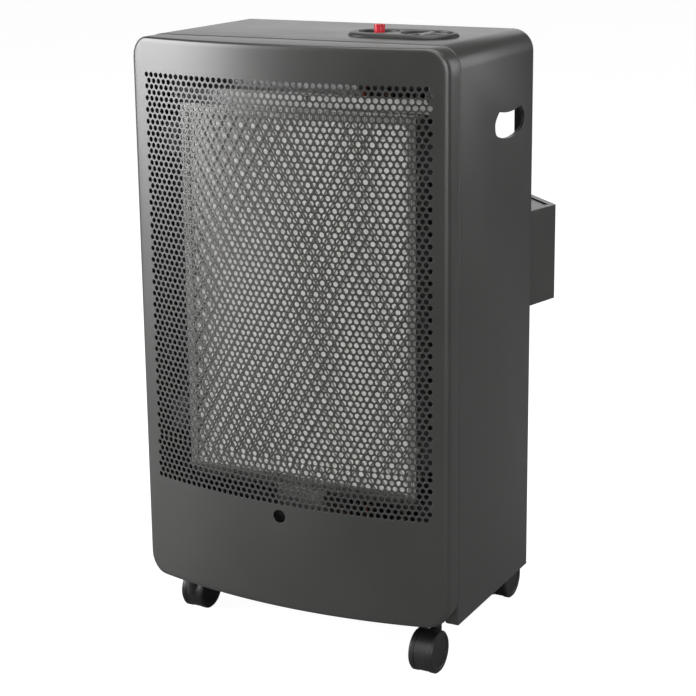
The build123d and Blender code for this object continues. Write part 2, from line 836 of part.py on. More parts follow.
# ---------------------------------------------------------------- controls
# Bezel with two wells clipped into the top sheet, tap knob and igniter button.
opening_edge_y = control_opening_width / 2
with BuildPart() as control_escutcheon:
    with BuildSketch(Plane.XY.offset(top_z)):
        with Locations((control_x, control_y)):
            SlotOverall(escutcheon_length, escutcheon_width)
    extrude(amount=escutcheon_height)
    chamfer(control_escutcheon.faces().sort_by(Axis.Z)[-1].edges(), escutcheon_wall / 2)
    with BuildSketch(Plane.XY.offset(top_z)):
        with Locations((control_x, control_y)):
            SlotOverall(escutcheon_length - 2 * escutcheon_wall, escutcheon_width - 2 * escutcheon_wall)
    extrude(amount=escutcheon_height - escutcheon_wall, mode=Mode.SUBTRACT)
    for x, diameter, depth in (
        (knob_x, knob_well_diameter, knob_well_depth),
        (button_x, button_well_diameter, button_well_depth),
    ):
        with BuildSketch(Plane.XY.offset(plate_z - depth - escutcheon_wall)):
            with Locations((x, control_y)):
                Circle(diameter / 2 + escutcheon_wall)
        extrude(amount=depth)
        with BuildSketch(Plane.XY.offset(plate_z - depth)):
            with Locations((x, control_y)):
                Circle(diameter / 2)
        extrude(amount=depth, mode=Mode.SUBTRACT)
    for side in (-1, 1):
        leg_y = control_y + side * (opening_edge_y - seat_gap)
        with BuildSketch(Plane.XY.offset(plate_z - escutcheon_wall)):
            with Locations((control_x, leg_y - side * snap_thickness / 2)):
                Rectangle(snap_width, snap_thickness)
        extrude(amount=-snap_length)
        with BuildSketch(Plane.XY.offset(top_z - sheet - seat_gap)):
            with Locations((control_x, leg_y + side * snap_thickness / 2)):
                Rectangle(snap_width, snap_thickness)
        extrude(amount=-snap_thickness)
    with BuildSketch(Plane.XY.offset(knob_floor_z)):
        with Locations((knob_x, control_y)):
            Circle(spindle_diameter / 2 + 2 * side_gap)
    extrude(amount=-escutcheon_wall, mode=Mode.SUBTRACT)
    with BuildSketch(Plane.XY.offset(button_floor_z)):
        with Locations((button_x, control_y)):
            Circle(igniter_barrel / 2 + seat_gap)
    extrude(amount=-escutcheon_wall, mode=Mode.SUBTRACT)
save(control_escutcheon, "control_escutcheon")

knob_z = knob_floor_z + knob_rest
grip_z = knob_z + knob_skirt
knob_top_z = grip_z + knob_grip_height
spindle_top_z = knob_top_z - knob_skirt / 2
spindle_foot_z = valve_top_z - spindle_depth


def d_bar(radius, flat):
    """Section of a round bar at the knob's axis with one flat on its front."""
    with BuildSketch() as section:
        with Locations((knob_x, control_y)):
            Circle(radius)
            with Locations((0, -flat - radius)):
                Rectangle(4 * radius, 2 * radius, mode=Mode.SUBTRACT)
    return section.sketch


with BuildPart() as control_knob:
    with BuildSketch(Plane.XY.offset(knob_z)):
        with Locations((knob_x, control_y)):
            Circle(knob_diameter / 2)
    extrude(amount=knob_skirt)
    chamfer(control_knob.faces().sort_by(Axis.Z)[-1].edges(), knob_skirt / 4)
    with BuildSketch(Plane.XY.offset(grip_z)):
        with Locations((knob_x, control_y)):
            SlotOverall(knob_diameter - knob_skirt, knob_grip_width, rotation=90)
    extrude(amount=knob_grip_height)
    chamfer(control_knob.faces().sort_by(Axis.Z)[-1].edges(), knob_skirt / 4)
    with BuildSketch(Plane.XY.offset(knob_z)):
        add(d_bar(spindle_diameter / 2 + running_gap, spindle_flat + running_gap))
    extrude(amount=spindle_top_z - knob_z, mode=Mode.SUBTRACT)
save(control_knob, "control_knob")

with BuildPart() as valve_spindle:
    with BuildSketch(Plane.XY.offset(spindle_foot_z)):
        add(d_bar(spindle_diameter / 2, spindle_flat))
    extrude(amount=spindle_top_z - spindle_foot_z)
save(valve_spindle, "valve_spindle")

rotor_z = valve_top_z + strap_thickness + seat_gap
with BuildPart() as valve_rotor:
    with BuildSketch(Plane.XY.offset(rotor_z)):
        with Locations((knob_x, control_y)):
            Circle(rotor_diameter / 2)
    extrude(amount=rotor_height)
    with BuildSketch(Plane.XY.offset(valve_top_z - rotor_hub_height)):
        with Locations((knob_x, control_y)):
            Circle(rotor_hub_diameter / 2)
    extrude(amount=rotor_z - valve_top_z + rotor_hub_height)
    with BuildSketch(Plane.XY.offset(valve_top_z - rotor_hub_height)):
        add(d_bar(spindle_diameter / 2 + running_gap, spindle_flat + running_gap))
    extrude(amount=body_depth, mode=Mode.SUBTRACT)
save(valve_rotor, "valve_rotor")

collar_top_z = button_floor_z + igniter_collar_height
button_top_z = collar_top_z + button_rise
with BuildPart() as piezo_igniter:
    with BuildSketch(Plane.XY.offset(button_floor_z)):
        with Locations((button_x, control_y)):
            Circle(igniter_collar / 2)
    extrude(amount=igniter_collar_height)
    with BuildSketch(Plane.XY.offset(button_floor_z)):
        with Locations((button_x, control_y)):
            Circle(igniter_barrel / 2)
    extrude(amount=-igniter_length)
    with BuildSketch(Plane.XY.offset(collar_top_z)):
        with Locations((button_x, control_y)):
            Circle(button_diameter / 2 + running_gap)
    extrude(amount=button_rise - button_length - button_travel - side_gap, mode=Mode.SUBTRACT)
save(piezo_igniter, "piezo_igniter")

with BuildPart() as piezo_nut:
    with BuildSketch(Plane.XY.offset(button_floor_z - escutcheon_wall)):
        with Locations((button_x, control_y)):
            RegularPolygon(igniter_nut_width / 2, 6, major_radius=False)
            Circle(igniter_barrel / 2 + running_gap, mode=Mode.SUBTRACT)
    extrude(amount=-igniter_nut_height)
save(piezo_nut, "piezo_nut")

with BuildPart() as piezo_button:
    with BuildSketch(Plane.XY.offset(button_top_z)):
        with Locations((button_x, control_y)):
            Circle(button_diameter / 2)
    extrude(amount=-button_length)
    with BuildSketch(Plane.XY.offset(button_top_z)):
        with Locations((button_x, control_y)):
            Circle(button_diameter / 4)
            with PolarLocations(button_diameter / 2, button_notches):
                Rectangle(button_diameter, button_notch_width)
    extrude(amount=-button_notch_depth, mode=Mode.SUBTRACT)
save(piezo_button, "piezo_button")


# ---------------------------------------------------------------- gas valve
# Brass tap under the top sheet, hung in a strap, with its hose nozzle at the rear.
valve_foot_z = valve_top_z - valve_height
valve_front_y = control_y - valve_depth / 2
valve_rear_y = control_y + valve_depth / 2
valve_left_x = knob_x - valve_width / 2
pilot_outlet_x = knob_x - outlet_spacing / 2
duct_y = seam_y + duct_from_seam

with BuildPart() as gas_valve:
    with BuildSketch(Plane.XY.offset(valve_foot_z)):
        with Locations((knob_x, control_y)):
            RectangleRounded(valve_width, valve_depth, valve_corner)
    extrude(amount=valve_height)
    with BuildSketch(Plane.XY.offset(valve_foot_z)):
        with Locations((knob_x, control_y)):
            Circle(magnet_diameter / 2)
    extrude(amount=-magnet_length)
    with BuildSketch(Plane.XY.offset(valve_top_z)):
        with Locations((knob_x, control_y)):
            Circle(rotor_hub_diameter / 2 + running_gap)
    extrude(amount=-rotor_hub_height - seat_gap, mode=Mode.SUBTRACT)
    with BuildSketch(Plane.XY.offset(valve_top_z)):
        with Locations((knob_x, control_y)):
            Circle(spindle_diameter / 2 + running_gap)
    extrude(amount=-spindle_depth - knob_travel - seat_gap, mode=Mode.SUBTRACT)
save(gas_valve, "gas_valve")

strap_foot_z = top_z - sheet - strap_thickness
strap_half = knob_well_diameter / 2 + 2 * escutcheon_wall + 2 * strap_thickness
with BuildPart() as valve_strap:
    with BuildSketch(side_view(knob_x)):
        with BuildLine():
            Polyline(
                (control_y - strap_half - strap_foot, strap_foot_z),
                (control_y - strap_half, strap_foot_z),
                (control_y - strap_half, valve_top_z),
                (control_y + strap_half, valve_top_z),
                (control_y + strap_half, strap_foot_z),
                (control_y + strap_half + strap_foot, strap_foot_z),
            )
            offset(amount=strap_thickness, side=Side.LEFT, kind=Kind.INTERSECTION)
        make_face()
    extrude(amount=strap_width / 2, both=True)
    with BuildSketch(Plane.XY.offset(valve_top_z)):
        with Locations((knob_x, control_y)):
            Circle(rotor_hub_diameter / 2 + seat_gap)
    extrude(amount=strap_thickness, mode=Mode.SUBTRACT)
save(valve_strap, "valve_strap")

with BuildPart() as inlet_nozzle:
    with BuildSketch(front_view(valve_rear_y)):
        with Locations((knob_x, outlet_z)):
            RegularPolygon(nozzle_hex / 2, 6, major_radius=False)
    extrude(amount=-nozzle_hex_height)
    with BuildSketch(front_view(valve_rear_y + nozzle_hex_height)):
        with Locations((knob_x, outlet_z)):
            Circle(nozzle_diameter / 2)
    extrude(amount=-nozzle_length)
    with BuildSketch(front_view(valve_rear_y)):
        with Locations((knob_x, outlet_z)):
            Circle(nozzle_diameter / 4)
    extrude(amount=-nozzle_hex_height - nozzle_length, mode=Mode.SUBTRACT)
save(inlet_nozzle, "inlet_nozzle")

with BuildPart() as gas_injector:
    with BuildSketch(front_view(pan_back_y + injector_depth)):
        with Locations((main_x, injector_z)):
            Rectangle(injector_size, injector_size)
    extrude(amount=injector_depth)
    with BuildSketch(front_view(pan_back_y)):
        with Locations((main_x, injector_z)):
            Circle(injector_nose / 2)
    extrude(amount=injector_nose / 2)
save(gas_injector, "gas_injector")


# ---------------------------------------------------------------- pilot group
# Bracket under the pan's foot with pilot burner, thermocouple and spark electrode.
shelf_z = pan_foot_z - pilot_shelf_drop
bar_y = pan_front_y - sheet - pilot_bar_reach
pilot_y = bar_y + sheet + pilot_tube_diameter / 2 + side_gap
web_y = bar_y + pilot_shelf_depth
burner_x = pilot_bar_x - pilot_spacing
probe_x = pilot_bar_x
electrode_x = pilot_bar_x + pilot_spacing
stub_foot_z = shelf_z - pilot_stub_length

with BuildPart() as pilot_bracket:
    with BuildSketch(side_view(pilot_bar_x)):
        with Locations((bar_y + sheet / 2, shelf_z + pilot_bar_height / 2)):
            Rectangle(sheet, pilot_bar_height)
        with Locations(((bar_y + web_y) / 2, shelf_z + sheet / 2)):
            Rectangle(pilot_shelf_depth, sheet)
        with Locations((web_y - sheet / 2, (shelf_z + pan_foot_z) / 2)):
            Rectangle(sheet, pilot_shelf_drop)
        with Locations((web_y + pilot_leaf / 2 - sheet, pan_foot_z - sheet / 2)):
            Rectangle(pilot_leaf, sheet)
    extrude(amount=pilot_bar_width / 2, both=True)
    with BuildSketch(Plane.XY.offset(shelf_z)):
        for x in (burner_x, probe_x, electrode_x):
            with Locations((x, pilot_y)):
                Circle(pilot_stub_diameter / 2 + screw_clearance)
    extrude(amount=2 * sheet, mode=Mode.SUBTRACT)
save(pilot_bracket, "pilot_bracket")


def shelf_fitting(x, stub, body, length, tip, tip_length):
    """Upright fitting on the shelf: stub below, wider body above, thinner tip on top."""
    with BuildPart() as fitting:
        for start, diameter, end in (
            (stub_foot_z, stub, shelf_z + sheet),
            (shelf_z + sheet, body, shelf_z + sheet + length),
            (shelf_z + sheet + length, tip, shelf_z + sheet + length + tip_length),
        ):
            with BuildSketch(Plane.XY.offset(start)):
                with Locations((x, pilot_y)):
                    Circle(diameter / 2)
            extrude(amount=end - start)
    return fitting.part


with BuildPart() as pilot_burner:
    add(
        shelf_fitting(
            burner_x,
            pilot_stub_diameter,
            pilot_tube_diameter,
            pilot_tube_length - pilot_port,
            pilot_stub_diameter,
            pilot_port,
        )
    )
    with BuildSketch(front_view(pilot_y)):
        with Locations((burner_x, shelf_z + pilot_tube_length - 2 * pilot_port)):
            Circle(pilot_port / 2)
    extrude(amount=pilot_tube_diameter, both=True, mode=Mode.SUBTRACT)
save(pilot_burner, "pilot_burner")

with BuildPart() as thermocouple:
    add(
        shelf_fitting(
            probe_x,
            probe_diameter,
            pilot_tube_diameter,
            pilot_port,
            probe_diameter,
            probe_length - pilot_port,
        )
    )
save(thermocouple, "thermocouple")

with BuildPart() as spark_electrode:
    add(
        shelf_fitting(
            electrode_x,
            probe_diameter,
            ceramic_diameter,
            ceramic_length,
            electrode_wire,
            probe_length - ceramic_length,
        )
    )
save(spark_electrode, "spark_electrode")


# ---------------------------------------------------------------- pipes and leads
# All leave the top, cross over the shield and run down behind the pan.
def bent_bar(points, diameter, bend):
    """Round bar through points, with bends of one radius."""
    with BuildPart() as bar:
        with BuildLine():
            path = FilletPolyline(*points, radius=bend)
        with BuildSketch(Plane(origin=path @ 0, z_dir=path % 0)):
            Circle(diameter / 2)
        sweep()
    return bar.part


pipe_run_z = pan_foot_z - pipe_run_drop
lead_x = valve_left_x - lead_exit

with BuildPart() as main_gas_pipe:
    add(
        bent_bar(
            [
                (main_x, valve_front_y, outlet_z),
                (main_x, duct_y, outlet_z),
                (main_x, duct_y, injector_z + injector_size / 2),
            ],
            main_pipe_diameter,
            pipe_bend,
        )
    )
save(main_gas_pipe, "main_gas_pipe")

with BuildPart() as pilot_gas_pipe:
    add(
        bent_bar(
            [
                (pilot_outlet_x, valve_front_y, outlet_z),
                (pilot_outlet_x, duct_y, outlet_z),
                (pilot_outlet_x, duct_y, pipe_run_z),
                (burner_x, duct_y, pipe_run_z),
                (burner_x, pilot_y, pipe_run_z),
                (burner_x, pilot_y, stub_foot_z),
            ],
            pilot_pipe_diameter,
            pipe_bend,
        )
    )
save(pilot_gas_pipe, "pilot_gas_pipe")

with BuildPart() as thermocouple_lead:
    add(
        bent_bar(
            [
                (valve_left_x, control_y, outlet_z),
                (lead_x, control_y, outlet_z),
                (lead_x, duct_y, outlet_z),
                (lead_x, duct_y, pipe_run_z + run_step),
                (probe_x, duct_y, pipe_run_z + run_step),
                (probe_x, pilot_y, pipe_run_z + run_step),
                (probe_x, pilot_y, stub_foot_z),
            ],
            lead_diameter,
            lead_bend,
        )
    )
save(thermocouple_lead, "thermocouple_lead")

with BuildPart() as ignition_lead:
    add(
        bent_bar(
            [
                (button_x, control_y, button_floor_z - igniter_length),
                (button_x, control_y, outlet_z),
                (button_x, duct_y, outlet_z),
                (button_x, duct_y, pipe_run_z + 1.5 * run_step),
                (electrode_x, duct_y, pipe_run_z + 1.5 * run_step),
                (electrode_x, pilot_y, pipe_run_z + 1.5 * run_step),
                (electrode_x, pilot_y, stub_foot_z),
            ],
            lead_diameter,
            lead_bend,
        )
    )
save(ignition_lead, "ignition_lead")

with BuildPart() as union_nuts:
    for plane, x, y, diameter, length in (
        (front_view(valve_front_y), main_x, outlet_z, main_pipe_diameter, union_length),
        (front_view(valve_front_y), pilot_outlet_x, outlet_z, pilot_pipe_diameter, union_length),
        (Plane.XY.offset(injector_z + injector_size / 2), main_x, duct_y, main_pipe_diameter, union_length),
        (Plane.XY.offset(stub_foot_z), burner_x, pilot_y, pilot_pipe_diameter, -union_length),
        (side_view(valve_left_x), control_y, outlet_z, lead_diameter, -union_length),
    ):
        with BuildSketch(plane):
            with Locations((x, y)):
                RegularPolygon(diameter / 2 + union_wall, 6)
                Circle(diameter / 2 + screw_clearance, mode=Mode.SUBTRACT)
        extrude(amount=length)
save(union_nuts, "union_nuts")
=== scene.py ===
import bpy
import json
from math import atan, copysign, cos, pi, radians, sin, sqrt
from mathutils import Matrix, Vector


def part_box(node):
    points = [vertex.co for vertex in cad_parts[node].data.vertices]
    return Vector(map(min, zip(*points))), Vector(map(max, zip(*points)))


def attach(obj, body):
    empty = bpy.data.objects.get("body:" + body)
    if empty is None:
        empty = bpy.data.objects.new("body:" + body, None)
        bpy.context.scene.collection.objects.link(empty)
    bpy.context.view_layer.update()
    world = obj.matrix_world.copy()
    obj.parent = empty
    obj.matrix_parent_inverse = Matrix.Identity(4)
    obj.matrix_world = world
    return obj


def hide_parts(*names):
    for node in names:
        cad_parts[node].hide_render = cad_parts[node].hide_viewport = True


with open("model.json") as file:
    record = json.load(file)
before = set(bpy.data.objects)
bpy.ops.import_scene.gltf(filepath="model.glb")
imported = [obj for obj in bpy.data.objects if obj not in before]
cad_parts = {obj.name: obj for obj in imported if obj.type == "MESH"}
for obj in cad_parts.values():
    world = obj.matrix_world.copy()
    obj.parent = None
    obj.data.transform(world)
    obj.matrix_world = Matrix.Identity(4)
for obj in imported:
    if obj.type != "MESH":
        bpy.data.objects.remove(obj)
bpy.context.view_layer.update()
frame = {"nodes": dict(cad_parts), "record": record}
nodes = frame["nodes"]

# ---------------------------------------------------------------- front panel
# Bowed steel pressing with a staggered field of round holes: punched flat and bowed, then
# its rim is rolled and turned back. Its dark anthracite powder coat has a fine orange peel,
# is slightly uneven in gloss and wears a little lighter along its edges.
panel_low, panel_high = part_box("front_panel")
panel_half = panel_high.x
panel_back = panel_high.y
panel_front = panel_low.y
panel_foot = panel_low.z
panel_top = panel_high.z
bow_radius = 0.700
sheet = 0.001
hole_pitch = 0.008
hole_row = 0.00684
hole_radius = 0.00312
hole_columns = 46
hole_sides = 8
regular_rows = 64
flipped_rows = 8
first_row_z = panel_top - 0.043
corner_radius = 0.0245
corner_angles = (0.30, 0.60, 0.86, 1.10)
side_roll = 0.009
top_roll = 0.0035
roll_blend = 1.5
sight_z = 0.1785
sight_radius = 0.008
sight_sides = 24
flange = 0.010
flange_middle = sight_z + 0.2
weld_gap = 0.00005
fine_weld = 0.000001
hair = 0.0001
coat_grey = (0.0235, 0.0240, 0.0223, 1)
coat_edge = (0.062, 0.063, 0.060, 1)


def quiet():
    """Object mode with nothing selected."""
    if bpy.context.object and bpy.context.object.mode != "OBJECT":
        bpy.ops.object.mode_set(mode="OBJECT")
    bpy.ops.object.select_all(action="DESELECT")


def only(piece):
    """Make one piece the selected and active one."""
    quiet()
    piece.select_set(True)
    bpy.context.view_layer.objects.active = piece


def edit():
    """Edit mode for the active piece."""
    bpy.ops.object.mode_set(mode="EDIT")


def done():
    """Back to object mode."""
    bpy.ops.object.mode_set(mode="OBJECT")


def apply_all(piece):
    """Apply every modifier of a piece in order."""
    only(piece)
    for modifier in list(piece.modifiers):
        bpy.ops.object.modifier_apply(modifier=modifier.name)


def face_outwards(piece):
    """Turn all faces of a piece outwards."""
    only(piece)
    edit()
    bpy.ops.mesh.select_all(action="SELECT")
    bpy.ops.mesh.normals_make_consistent(inside=False)
    done()


def thicken(piece, offset=-1, even=False):
    """Give a piece made as a surface the thickness of its sheet."""
    wall = piece.modifiers.new("wall", "SOLIDIFY")
    wall.thickness = sheet
    wall.offset = offset
    wall.use_even_offset = even
    apply_all(piece)


def repeat(piece, count, step):
    """Array a piece along a step and weld the copies."""
    array = piece.modifiers.new("repeat", "ARRAY")
    array.count = count
    array.use_relative_offset = False
    array.use_constant_offset = True
    array.constant_offset_displace = step
    array.use_merge_vertices = True
    array.merge_threshold = weld_gap
    apply_all(piece)


def joined(pieces, weld=weld_gap):
    """Join pieces into the first one and weld what touches."""
    quiet()
    for piece in pieces:
        piece.select_set(True)
    bpy.context.view_layer.objects.active = pieces[0]
    bpy.ops.object.join()
    edit()
    bpy.ops.mesh.select_all(action="SELECT")
    bpy.ops.mesh.remove_doubles(threshold=weld)
    done()
    return bpy.context.object


def flat_copy(piece, shift):
    """Copy of a piece with its own mesh, moved by shift."""
    twin = piece.copy()
    twin.data = piece.data.copy()
    bpy.context.scene.collection.objects.link(twin)
    for vertex in twin.data.vertices:
        vertex.co += Vector(shift)
    return twin


def ringed_hole(radius, sides, half_x, half_z, x, z):
    """Round hole with a rectangular border whose points match the hole's, flat in XZ."""
    quiet()
    bpy.ops.mesh.primitive_circle_add(vertices=sides, radius=radius, location=(0, 0, 0))
    piece = bpy.context.object
    edit()
    bpy.ops.mesh.select_all(action="SELECT")
    bpy.ops.mesh.extrude_region()
    done()
    per_side = sides // 4
    for vertex in piece.data.vertices:
        if vertex.select:
            angle = -Vector((1, 0)).angle_signed(vertex.co.xy)
            number = round(angle * sides / (2 * pi)) % sides
            side, step = divmod(number + per_side // 2, per_side)
            along = 2 * step / per_side - 1
            spot = [(1, along), (-along, 1), (-1, -along), (along, -1)][side % 4]
            vertex.co.x = half_x * spot[0]
            vertex.co.y = half_z * spot[1]
    for vertex in piece.data.vertices:
        vertex.co = (vertex.co.x + x, 0, vertex.co.y + z)
    return piece


def flat_strip(xs, zs):
    """Plain sheet in XZ with points at the given places."""
    quiet()
    across = len(xs) - 1
    up = len(zs) - 1
    bpy.ops.mesh.primitive_grid_add(x_subdivisions=across, y_subdivisions=up, size=1)
    piece = bpy.context.object
    for vertex in piece.data.vertices:
        column = round((vertex.co.x + 0.5) * across)
        row = round((vertex.co.y + 0.5) * up)
        vertex.co = (xs[column], 0, zs[row])
    return piece


def steps(start, end, count):
    """Evenly spaced places from start to end."""
    return [start + (end - start) * i / count for i in range(count + 1)]


# two rows of cells, the second half a pitch on, with a half cell at the open ends, and the
# same flipped for the lowest rows, which are staggered the other way
half_pitch = hole_pitch / 2
first_x = -(hole_columns - 1) / 2 * hole_pitch
field_left = first_x - half_pitch
field_right = -field_left + half_pitch
cell = ringed_hole(hole_radius, hole_sides, half_pitch, hole_row / 2, first_x, 0)
repeat(cell, hole_columns, (hole_pitch, 0, 0))
shifted = flat_copy(cell, (half_pitch, 0, -hole_row))
row_places = [-hole_row / 2, 0, hole_row / 2]
right_filler = flat_strip([field_right - half_pitch, field_right], row_places)
left_filler = flat_strip(
    [field_left, field_left + half_pitch], [z - hole_row for z in row_places]
)
row_pair = joined([cell, shifted, right_filler, left_filler])
flipped_pair = flat_copy(row_pair, (0, 0, 0))
for vertex in flipped_pair.data.vertices:
    vertex.co.z = -hole_row - vertex.co.z
repeat(row_pair, regular_rows // 2, (0, 0, -2 * hole_row))
repeat(flipped_pair, flipped_rows // 2, (0, 0, -2 * hole_row))
for vertex in row_pair.data.vertices:
    vertex.co.z += first_row_z
for vertex in flipped_pair.data.vertices:
    vertex.co.z += first_row_z - regular_rows * hole_row
field_top = first_row_z + hole_row / 2
field_foot = field_top - (regular_rows + flipped_rows) * hole_row

# plain margins round the field, the lower one with the sight hole
margin_left = field_left - half_pitch
columns = steps(margin_left, field_right, 2 * hole_columns + 2)
corner_z = panel_top - corner_radius
corner_x = panel_half - corner_radius
overhang = bow_radius * sin(field_right / bow_radius) - corner_x
arc_steps = [overhang * sin(a) / cos(a) for a in corner_angles]
upper_rows = [field_top, (field_top + corner_z) / 2, corner_z]
upper_rows += [corner_z + s for s in arc_steps] + [panel_top - 2 * top_roll]
foot_corner_z = panel_foot + corner_radius
sight_half = 3 * half_pitch
lower_rows = [panel_foot + 2 * top_roll] + [foot_corner_z - s for s in reversed(arc_steps)]
lower_rows += steps(foot_corner_z, sight_z - sight_half, 4)
sight_rows = steps(sight_z - sight_half, sight_z + sight_half, 6)
side_rows = steps(field_foot, field_top, 2 * (regular_rows + flipped_rows))
upper = flat_strip(columns, upper_rows)
lower = flat_strip(columns, lower_rows)
left_margin = flat_strip([margin_left, field_left], side_rows)
sight_left = flat_strip([c for c in columns if c < hair - sight_half], sight_rows)
sight_right = flat_strip([c for c in columns if c > sight_half - hair], sight_rows)
below_field = flat_strip(columns, [sight_z + sight_half, field_foot])
sight_ring = ringed_hole(sight_radius, sight_sides, sight_half, sight_half, 0, sight_z)
front_sheet = joined(
    [
        row_pair,
        flipped_pair,
        upper,
        lower,
        left_margin,
        sight_left,
        sight_right,
        below_field,
        sight_ring,
    ]
)
front_sheet.name = front_sheet.data.name = "perforated_front"

# bow the sheet
for vertex in front_sheet.data.vertices:
    turn = vertex.co.x / bow_radius
    vertex.co.x = bow_radius * sin(turn)
    vertex.co.y = panel_front + bow_radius * (1 - cos(turn))


def rim_place(x, z, turn):
    """Place on the rolled rim beside the border point (x, z); turn is 0 on the bow and 1 at
    the side wall."""
    out_x = max(abs(x) - corner_x, 0)
    out_z = max(z - corner_z, foot_corner_z - z, 0)
    reach = sqrt(out_x**2 + out_z**2)
    across = copysign(out_x / reach, x)
    up = copysign(out_z / reach, z - sight_z)
    edge_x = copysign(min(abs(x), corner_x), x) + across * corner_radius
    edge_z = min(max(z, foot_corner_z), corner_z) + up * corner_radius
    roll = top_roll + (side_roll - top_roll) * abs(across) ** roll_blend
    slope = atan(abs(across) * (panel_half - side_roll) / (bow_radius - side_roll))
    angle = slope + (pi / 2 - slope) * turn
    foot_x = edge_x - across * roll * (1 - sin(slope))
    bow = panel_front + bow_radius - sqrt(bow_radius**2 - foot_x**2)
    inward = roll * (1 - sin(angle))
    return (edge_x - across * inward, bow + roll * (cos(slope) - cos(angle)), edge_z - up * inward)


def border_of(piece):
    """Select the outer border's edges and points, which lie beyond the holes."""
    only(piece)
    edit()
    bpy.ops.mesh.select_mode(type="EDGE")
    bpy.ops.mesh.select_all(action="DESELECT")
    bpy.ops.mesh.select_non_manifold()
    done()
    left = bow_radius * sin(margin_left / bow_radius) + 2 * hair
    for edge in piece.data.edges:
        ends = [piece.data.vertices[i].co for i in edge.vertices]
        outer = (
            all(end.x < left or end.x > -left for end in ends)
            or all(end.z > panel_top - 2 * top_roll - 2 * hair for end in ends)
            or all(end.z < panel_foot + 2 * top_roll + 2 * hair for end in ends)
        )
        edge.select = edge.select and outer
    for vertex in piece.data.vertices:
        vertex.select = False
    for edge in piece.data.edges:
        if edge.select:
            for i in edge.vertices:
                piece.data.vertices[i].select = True


border_of(front_sheet)
for turn in (0, 0.25, 0.5, 0.75, 1, "back", "flange"):
    edit()
    bpy.ops.mesh.extrude_region()
    done()
    for vertex in front_sheet.data.vertices:
        if not vertex.select:
            continue
        x, z = vertex.co.x, vertex.co.z
        if turn == "back":
            vertex.co.y = panel_back - sheet
        elif turn == "flange":
            vertex.co.x -= copysign(flange, x)
            vertex.co.z -= copysign(flange, z - flange_middle)
        else:
            vertex.co = rim_place(x, z, turn)
face_outwards(front_sheet)
thicken(front_sheet)
bpy.ops.object.shade_smooth_by_angle(angle=radians(35))


def new_material(name):
    """Empty node material with its Principled shader and object coordinates."""
    material = bpy.data.materials.new(name)
    material.use_nodes = True
    tree = material.node_tree
    shader = tree.nodes["Principled BSDF"]
    place = tree.nodes.new("ShaderNodeTexCoord").outputs["Object"]
    return material, tree, shader, place


def noise(tree, place, scale, detail=3, rough=0.5):
    """Noise texture at a scale per metre."""
    texture = tree.nodes.new("ShaderNodeTexNoise")
    texture.inputs["Scale"].default_value = scale
    texture.inputs["Detail"].default_value = detail
    texture.inputs["Roughness"].default_value = rough
    tree.links.new(place, texture.inputs["Vector"])
    return texture.outputs["Fac"]


def ramp(tree, value, stops):
    """Colour ramp over a value, from (position, colour) stops."""
    node = tree.nodes.new("ShaderNodeValToRGB")
    points = node.color_ramp.elements
    while len(points) < len(stops):
        points.new(0.5)
    for point, (position, colour) in zip(points, stops):
        point.position = position
        point.color = colour
    tree.links.new(value, node.inputs["Fac"])
    return node.outputs["Color"]


def relief(tree, shader, height, strength, distance, edge_radius):
    """Bump from a height, on edges that are rounded off by a small radius."""
    edge = tree.nodes.new("ShaderNodeBevel")
    edge.samples = 6
    edge.inputs["Radius"].default_value = edge_radius
    node = tree.nodes.new("ShaderNodeBump")
    node.inputs["Strength"].default_value = strength
    node.inputs["Distance"].default_value = distance
    tree.links.new(height, node.inputs["Height"])
    tree.links.new(edge.outputs["Normal"], node.inputs["Normal"])
    tree.links.new(node.outputs["Normal"], shader.inputs["Normal"])


def grey(value):
    """Neutral colour of one value."""
    return (value, value, value, 1)


def shade(base, factor):
    """A colour made lighter or darker by a factor."""
    return tuple(min(c * factor, 1) for c in base[:3]) + (1,)


def make_edge_wear():
    """Node group: Mask is 1 where an edge is worn, from Object place, Width and Patch size."""
    group = bpy.data.node_groups.new("edge wear", "ShaderNodeTree")
    face = group.interface
    face.new_socket("Place", in_out="INPUT", socket_type="NodeSocketVector")
    face.new_socket("Width", in_out="INPUT", socket_type="NodeSocketFloat")
    face.new_socket("Patches", in_out="INPUT", socket_type="NodeSocketFloat")
    face.new_socket("Mask", in_out="OUTPUT", socket_type="NodeSocketFloat")
    start = group.nodes.new("NodeGroupInput")
    end = group.nodes.new("NodeGroupOutput")
    rounded = group.nodes.new("ShaderNodeBevel")
    rounded.samples = 4
    flat = group.nodes.new("ShaderNodeNewGeometry")
    turn = group.nodes.new("ShaderNodeVectorMath")
    turn.operation = "DOT_PRODUCT"
    edge = group.nodes.new("ShaderNodeMapRange")
    edge.inputs["From Min"].default_value = 0.995
    edge.inputs["From Max"].default_value = 0.90
    patch = group.nodes.new("ShaderNodeTexNoise")
    patch.inputs["Detail"].default_value = 4
    worn = group.nodes.new("ShaderNodeMath")
    worn.operation = "MULTIPLY"
    join = group.links.new
    join(start.outputs["Width"], rounded.inputs["Radius"])
    join(start.outputs["Place"], patch.inputs["Vector"])
    join(start.outputs["Patches"], patch.inputs["Scale"])
    join(rounded.outputs["Normal"], turn.inputs[0])
    join(flat.outputs["Normal"], turn.inputs[1])
    join(turn.outputs["Value"], edge.inputs["Value"])
    join(edge.outputs["Result"], worn.inputs[0])
    join(patch.outputs["Fac"], worn.inputs[1])
    join(worn.outputs["Value"], end.inputs["Mask"])
    return group


edge_wear = make_edge_wear()


def worn_edges(tree, place, width, patches):
    """Edge wear group placed in a material."""
    node = tree.nodes.new("ShaderNodeGroup")
    node.node_tree = edge_wear
    node.inputs["Width"].default_value = width
    node.inputs["Patches"].default_value = patches
    tree.links.new(place, node.inputs["Place"])
    return node.outputs["Mask"]


